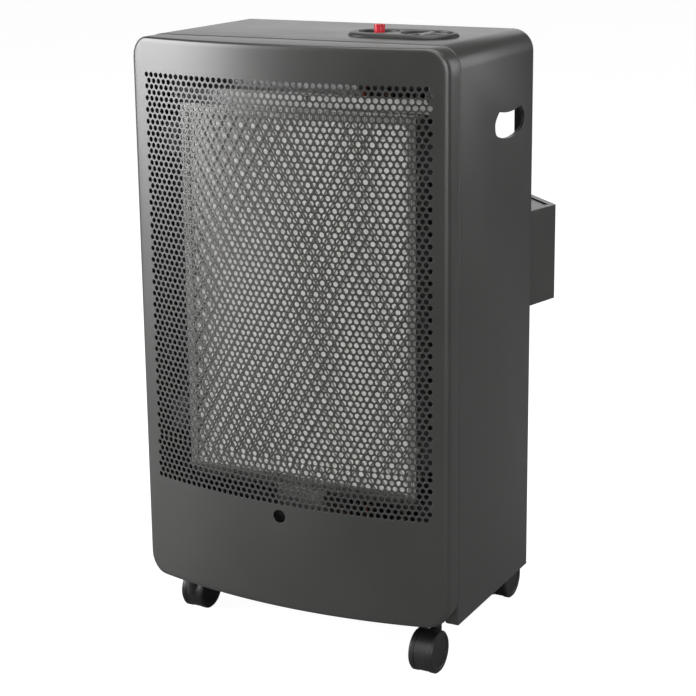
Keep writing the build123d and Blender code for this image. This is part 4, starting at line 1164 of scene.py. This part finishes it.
# ---------------------------------------------------------------- castors, gas side, ignition
# The other pieces keep the shape of their frame parts: nylon castors on zinc plated stems,
# the burner's aluminised and bright sheets, brass tap and nozzles, drawn pipes, glazed
# ceramic spark electrode, heat tinted probe and a red igniter button.
finishes = {
    "casing_paint": casing_coat,
    "black_plastic": black_plastic,
    "knob_plastic": knob_plastic,
    "button_plastic": moulded(
        "red button plastic", (0.50, 0.020, 0.035, 1), 0.24, 700, 0.0003, 1.25
    ),
    "nut_plastic": moulded("nut plastic", (0.045, 0.045, 0.045, 1), 0.5),
    "castor_nylon": moulded(
        "castor nylon", (0.009, 0.009, 0.0095, 1), 0.42, edge_radius=0.0012
    ),
    "castor_tread": moulded(
        "castor wheel nylon", (0.008, 0.008, 0.0085, 1), 0.40, edge_radius=0.0012
    ),
    "plated_steel": bare_metal("zinc plated steel", (0.58, 0.58, 0.56, 1), 0.32),
    "screw_steel": screw_steel,
    "aluminised_steel": bare_metal(
        "aluminised sheet", (0.56, 0.56, 0.55, 1), 0.42, (1, 1, 0.05)
    ),
    "bright_frame": bare_metal(
        "bright frame sheet", (0.78, 0.78, 0.76, 1), 0.26, (1, 1, 0.04), 25, 0.0008
    ),
    "galvanised_steel": spangled("galvanised sheet", (0.66, 0.67, 0.67, 1), 0.36, 120),
    "bracket_steel": bare_metal("bracket sheet", (0.50, 0.50, 0.48, 1), 0.40, (0.05, 1, 1)),
    "guard_steel": guard_steel,
    "mineral_wool": felted("mineral wool", (0.60, 0.57, 0.48, 1), 500),
    "catalyst_fibre": catalyst_fibre,
    "ceramic": moulded("glazed ceramic", (0.80, 0.77, 0.70, 1), 0.16, 300, 0.0003, 0.9),
    "probe_steel": bare_metal("heat tinted probe", (0.46, 0.42, 0.36, 1), 0.30, scale=160),
    "valve_brass": bare_metal("turned brass", (0.68, 0.50, 0.24, 1), 0.28, scale=70),
    "pipe_aluminium": bare_metal("drawn aluminium", (0.70, 0.71, 0.71, 1), 0.30, (1, 1, 0.05)),
    # Copper darkened as painted shade, so the pipe shows as dark as the casing's inside.
    "pipe_copper": bare_metal("copper darkened as painted shade", (0.26, 0.125, 0.085, 1), 0.36, scale=70),
    "lead_silicone": moulded(
        "red silicone sleeve", (0.36, 0.05, 0.035, 1), 0.5, 900, 0.0003, 1.1
    ),
}
for part in frame["record"]["subparts"]:
    piece = nodes[part["node"]]
    piece.data.materials.clear()
    piece.data.materials.append(finishes[part["material_slot"]])

# ---------------------------------------------------------------- camera and light
# Camera in front of the heater and to its right, slightly above the middle. Six soft boxes
# stand round the heater in a white room with a plain pale floor.
view_yaw = radians(27.858)
view_pitch = radians(13.565)
view_roll = radians(-0.621)
view_distance = 2.1923
view_target = Vector((-0.0173, 0, 0.4073))
lens_px = 1772.0
image_px = 696
centre_row = 285
sensor_mm = 36

ahead = Vector(
    (-sin(view_yaw) * cos(view_pitch), cos(view_yaw) * cos(view_pitch), -sin(view_pitch))
)
camera_data = bpy.data.cameras.new("camera")
camera = bpy.data.objects.new("camera", camera_data)
bpy.context.scene.collection.objects.link(camera)
camera.location = view_target - ahead * view_distance
camera.rotation_euler = ahead.to_track_quat("-Z", "Y").to_matrix().to_4x4().to_euler()
camera.rotation_euler.rotate_axis("Z", view_roll)
camera_data.sensor_width = sensor_mm
camera_data.lens = lens_px / image_px * sensor_mm
camera_data.shift_y = (centre_row - image_px / 2) / image_px
camera_data.clip_end = 50
bpy.context.scene.camera = camera

# the room: soft white, and pure white where the camera looks past the heater
room_light = 0.11
world = bpy.data.worlds.new("studio")
bpy.context.scene.world = world
world.use_nodes = True
tree = world.node_tree
tree.nodes.clear()
world_out = tree.nodes.new("ShaderNodeOutputWorld")
soft = tree.nodes.new("ShaderNodeBackground")
soft.inputs["Color"].default_value = (1, 1, 1, 1)
soft.inputs["Strength"].default_value = room_light
white = tree.nodes.new("ShaderNodeBackground")
white.inputs["Color"].default_value = (1, 1, 1, 1)
white.inputs["Strength"].default_value = 1
path = tree.nodes.new("ShaderNodeLightPath")
pick = tree.nodes.new("ShaderNodeMixShader")
tree.links.new(path.outputs["Is Camera Ray"], pick.inputs["Fac"])
tree.links.new(soft.outputs["Background"], pick.inputs[1])
tree.links.new(white.outputs["Background"], pick.inputs[2])
tree.links.new(pick.outputs["Shader"], world_out.inputs["Surface"])


def soft_box(name, place, aim, width, height, power):
    """Area light at a place, aimed at a point."""
    data = bpy.data.lights.new(name, "AREA")
    data.shape = "RECTANGLE"
    data.size = width
    data.size_y = height
    data.energy = power
    lamp = bpy.data.objects.new(name, data)
    bpy.context.scene.collection.objects.link(lamp)
    lamp.location = place
    lamp.rotation_euler = (Vector(aim) - Vector(place)).to_track_quat("-Z", "Y").to_euler()


soft_box("left bank", (-2.4, -1.55, 1.1), (0, -0.1, 0.45), 2.0, 1.9, 140)
soft_box("top bank", (0.3, -0.2, 2.8), (0, 0, 0.4), 2.4, 2.0, 56)
soft_box("back bank", (-1.7, 2.9, 1.45), (0, 0, 0.72), 3.2, 1.3, 13)
soft_box("right bank", (2.2, 1.9, 1.1), (0.2, 0, 0.6), 2.0, 1.4, 19)
soft_box("front bank", (2.5, -2.0, 1.0), (0, -0.2, 0.5), 1.6, 1.4, 44)
soft_box("high bank", (1.6, -2.4, 2.8), (0, -0.2, 0.4), 2.0, 1.6, 30)

# the floor glows white for the camera and is a mid grey for everything else
floor_glow = 0.95
quiet()
bpy.ops.mesh.primitive_plane_add(size=60, location=(0, 0, 0))
floor = bpy.context.object
floor.name = "floor"
floor_paint, tree, shader, place = new_material("floor paint")
cloud = noise(tree, place, 1.5, 2)
tone = ramp(tree, cloud, [(0.3, grey(0.19)), (0.7, grey(0.21))])
tree.links.new(tone, shader.inputs["Base Color"])
shader.inputs["Roughness"].default_value = 0.9
shader.inputs["Emission Color"].default_value = (1, 1, 1, 1)
seen = tree.nodes.new("ShaderNodeLightPath")
glow = tree.nodes.new("ShaderNodeMath")
glow.operation = "MULTIPLY"
glow.inputs[1].default_value = floor_glow
tree.links.new(seen.outputs["Is Camera Ray"], glow.inputs[0])
tree.links.new(glow.outputs["Value"], shader.inputs["Emission Strength"])
floor.data.materials.append(floor_paint)

bpy.context.scene.view_settings.view_transform = "Standard"
